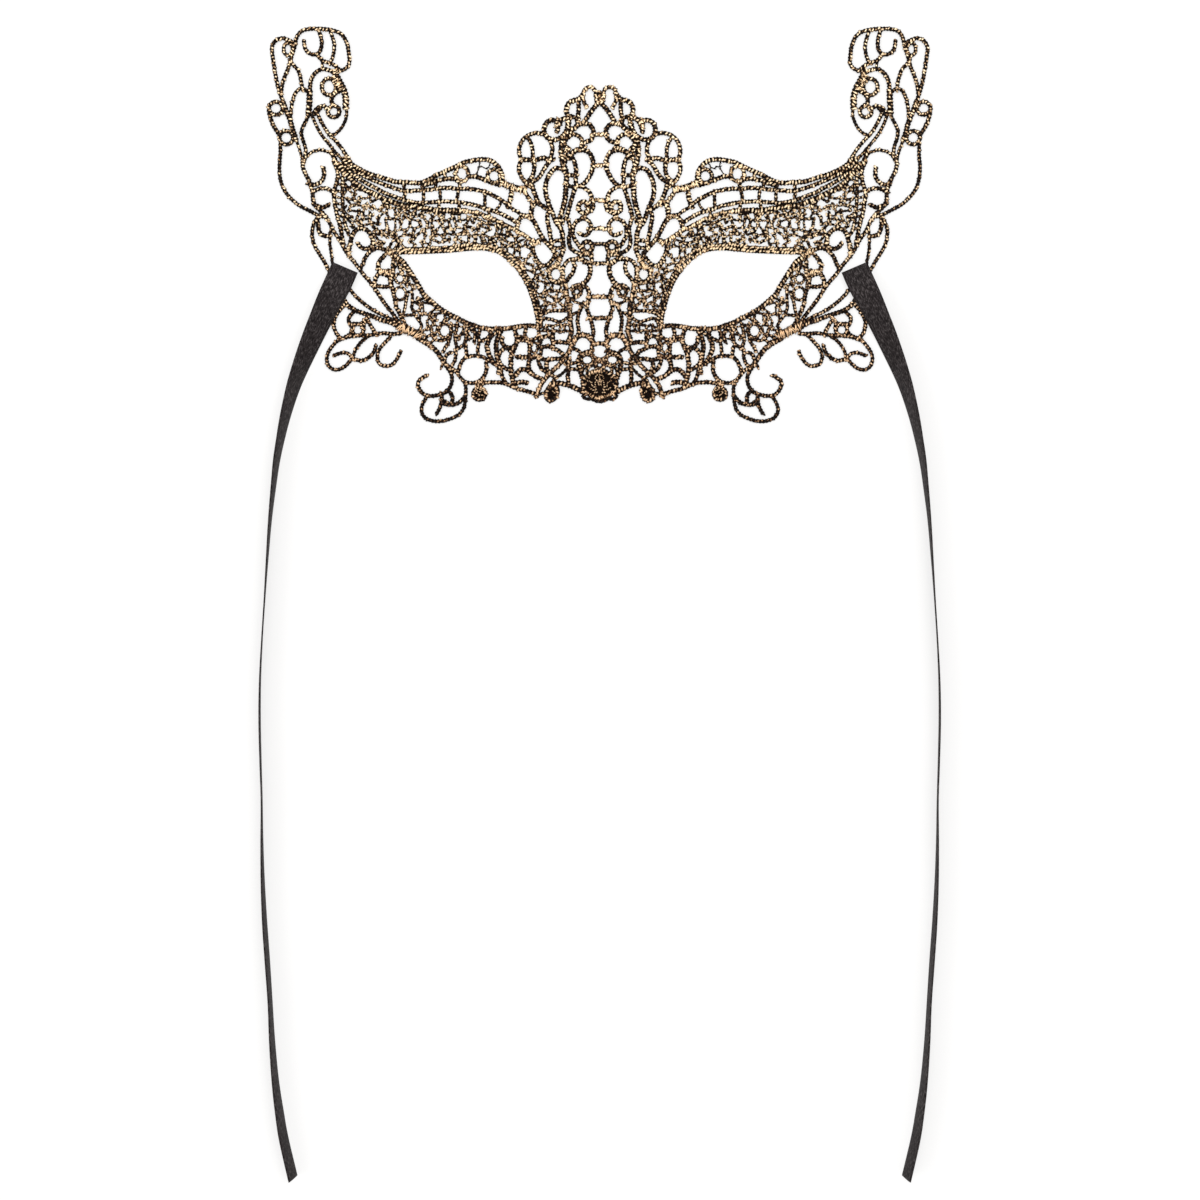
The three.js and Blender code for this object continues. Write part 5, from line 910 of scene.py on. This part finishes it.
def net_cords(region):
    """A hand-worked net of six-sided meshes, whose knots stray and some of whose threads are missing"""
    chance = random.Random(NET_SEED)
    side = NET_CELL / math.sqrt(3)
    knots = {}

    def knot(m, n):
        if (m, n) not in knots:
            stray = NET_STRAY * side
            knots[m, n] = (m * NET_CELL / 2 + chance.uniform(-stray, stray),
                           n * side / 2 + chance.uniform(-stray, stray))
        return knots[m, n]

    cords = []
    for row in NET_ROWS:
        for column in NET_COLUMNS:
            m, n = 2 * column + row % 2, 3 * row
            corners = [knot(m, n + 2), knot(m + 1, n + 1), knot(m + 1, n - 1), knot(m, n - 2)]
            for a, b in zip(corners, corners[1:]):
                middle = ((a[0] + b[0]) / 2, (a[1] + b[1]) / 2)
                if not inside(region, *middle):
                    continue
                if chance.random() > (NET_GAPS if a[0] > NOSE_LINE else NOSE_GAPS):
                    # An end that strays past the rim is drawn back half way, under the rim's cord
                    ends = [p if inside(region, *p) else on_spline([middle, p], 0.5) for p in (a, b)]
                    cords.append((NET_WIDTH * chance.uniform(*NET_SPREAD), NET_TONE, False, ends))
                if chance.random() < KNOT_SHARE:
                    lean = chance.uniform(0, math.pi)
                    way = (KNOT_REACH * math.cos(lean), KNOT_REACH * math.sin(lean))
                    knotted = [(a[0] - way[0], a[1] - way[1]), (a[0] + way[0], a[1] + way[1])]
                    if all(inside(region, *p) for p in knotted):
                        cords.append((NET_WIDTH * KNOT_WIDTH, KNOT_TONE, False, knotted))
    return cords


def rung_cords():
    """Short threads that cross the ladder at the temple"""
    outer, inner = (smooth_route(wing_side[name][2], 0) for name in ("ladder outer", "ladder inner"))
    cords = []
    y = RUNG_TOP
    while y > RUNG_LOW:
        ends = [min(line, key=lambda p: abs(p[1] - y + lift))
                for line, lift in ((outer, 0), (inner, RUNG_SLOPE))]
        cords.append((RUNG_WIDTH, NET_TONE, False, ends))
        y -= RUNG_PITCH
    return cords


def cords_of(*groups):
    """Every cord of these groups as its width, its share of gold, closed or open, and its line"""
    return [(width, tone, False, smooth_route(route, width))
            for group in groups for width, tone, *routes in group.values() for route in routes]


def rings_of(group):
    """Every closed ring of a group, as cords_of gives its cords"""
    return [(width, tone, True, ring_route(*place))
            for width, tone, *places in group.values() for place in places]


def lace_piece(name, cords, sides, kind, seed, tree, finishes, lift=0.0):
    """One piece of the lace from its cords, on the right, the left or both"""
    vertices, edges = [], []
    values = {"width": [], "height": [], "middle": [], "core": [], "tone": []}
    for width, tone, closed, line in cords:
        # A narrow cord is nearly round, and a wide one is flattened to the lace's own thickness
        height = min(LOWEST_CORD + CORD_RISE * width, LACE_THICKNESS)
        middle = height / 2 + CORD_CLEARANCE + lift
        sizes = (width * MM, height * MM, middle * MM, CORE_SHARE * width / 2 * MM, tone)
        for sign in sides:
            start = len(vertices)
            vertices += [(sign * x * MM, (y + PATTERN_LIFT) * MM, middle * MM) for x, y in line]
            edges += [(i, i + 1) for i in range(start, len(vertices) - 1)]
            if closed:
                edges.append((len(vertices) - 1, start))
            for column, value in zip(values.values(), sizes):
                column += [value] * len(line)
    mesh = bpy.data.meshes.new(name)
    mesh.from_pydata(vertices, edges, [])
    for key, column in values.items():
        mesh.attributes.new(key, "FLOAT", "POINT").data.foreach_set("value", column)
    piece = new_piece(name, mesh)
    winding = piece.modifiers.new("winding", "NODES")
    winding.node_group = tree
    pitch, half, slant, swell, stray = WINDINGS[kind]
    wanted = {"Pitch": pitch * MM, "Half width": half * MM, "Slant": math.radians(slant), "Swell": swell,
              "Stray": stray * MM, "Seed": seed, **finishes}
    for item in tree.interface.items_tree:
        if item.name in wanted:
            winding[item.identifier] = wanted[item.name]
    bpy.context.view_layer.update()
    depsgraph = bpy.context.evaluated_depsgraph_get()
    made = bpy.data.meshes.new_from_object(piece.evaluated_get(depsgraph), depsgraph=depsgraph,
                                           preserve_all_data_layers=True)
    piece.modifiers.clear()
    piece.data = made
    bpy.data.meshes.remove(mesh)
    put_in_frame(piece, "lace")


def dark_pad(name, finish):
    """Low domes of dark thread that fill the ornaments at the lower edge"""
    vertices, faces = [], []
    for sign, dome in itertools.product((1, -1), DOMES):
        x, y, radius_x, radius_y, lean, height = dome
        if x == 0 and sign < 0:
            continue
        start = len(vertices)
        for row in range(DOME_ROWS):
            lift = math.sin(row / DOME_ROWS * math.pi / 2)
            reach = math.cos(row / DOME_ROWS * math.pi / 2)
            for rim_x, rim_y in ring_route(0, 0, radius_x, radius_y, lean):
                vertices.append((sign * (x + rim_x * reach) * MM, (y + PATTERN_LIFT + rim_y * reach) * MM,
                                 (DOME_RIM + (height - DOME_RIM) * lift) * MM))
        top = len(vertices)
        vertices += [(sign * x * MM, (y + PATTERN_LIFT) * MM, z * MM) for z in (height, DOME_FOOT)]
        last = top - RING_POINTS
        for i in range(RING_POINTS):
            j = (i + 1) % RING_POINTS
            for a in range(start, last, RING_POINTS):
                b = a + RING_POINTS
                faces.append((a + i, a + j, b + j, b + i)[::sign])
            faces.append((last + i, last + j, top)[::sign])
            faces.append((start + j, start + i, top + 1)[::sign])
    mesh = new_surface(name, vertices, faces, finish)
    mesh.shade_smooth()
    put_in_frame(new_piece(name, mesh), "lace")


def floor_and_light():
    """A floor far wider than the view, two soft lights and a pale sky"""
    corners = [(x * FLOOR_REACH, y * FLOOR_REACH, -FLOOR_DEPTH)
               for x, y in ((-1, -1), (1, -1), (1, 1), (-1, 1))]
    new_piece("floor", new_surface("floor", corners, [(0, 1, 2, 3)], floor_paint()))
    for name, place, size, power in LIGHTS:
        data = bpy.data.lights.new(name, "AREA")
        data.energy = power
        data.size = size
        light = bpy.data.objects.new(name, data)
        light.location = place
        light.rotation_euler = Vector(place).to_track_quat("Z", "Y").to_euler()
        bpy.context.scene.collection.objects.link(light)
    world = bpy.data.worlds.new("studio")
    world.use_nodes = True
    background = world.node_tree.nodes["Background"]
    background.inputs["Color"].default_value = (1, 1, 1, 1)
    background.inputs["Strength"].default_value = SKY_STRENGTH
    bpy.context.scene.world = world
    bpy.context.scene.view_settings.view_transform = "Standard"


camera_above()
satin_finish = satin()
ribbon("right", satin_finish)
ribbon("left", satin_finish)

finishes = {"Core": core_thread(), "Gold": gold_thread()}
winding_tree = stitch_tree()
nets = [cord for region in net_regions.values() for cord in net_cords(region)]
# Each piece is its name, its cords, the way they are wound and the seed of its random draws
side_pieces = [
    ("lace_wing_", cords_of(wing_tip, wing_side), "open", 2),
    ("lace_brow_", cords_of(brow), "open", 3),
    ("lace_eye_rim_", cords_of(eye_rim), "rim", 10),
    ("lace_net_", nets + rung_cords(), "net", 4),
    ("lace_cheek_", cords_of(cheek, low_curls, fan, temple), "open", 5),
]
for side, signs in (("right", [1]), ("left", [-1])):
    for name, cords, kind, seed in side_pieces:
        lace_piece(name + side, cords, signs, kind, seed, winding_tree, finishes)
whole_pieces = [
    ("lace_middle", cords_of(crown, bridge, nose, nose_tip, edge_threads), "open", 6),
    ("lace_close_wound", cords_of(close_cords) + rings_of(close_rings), "close", 11),
    ("lace_rings", rings_of(rings), "ring", 7),
    ("satin_patches", cords_of(patches, ornament_bands), "satin", 8),
]
for name, cords, kind, seed in whole_pieces:
    lace_piece(name, cords, [1, -1], kind, seed, winding_tree, finishes)
dark_pad("ornament_fill", finishes["Core"])
lace_piece("ornament_threads", cords_of(ornament_threads), [1, -1], "loop", 9, winding_tree, finishes,
           lift=ORNAMENT_LIFT)
floor_and_light()
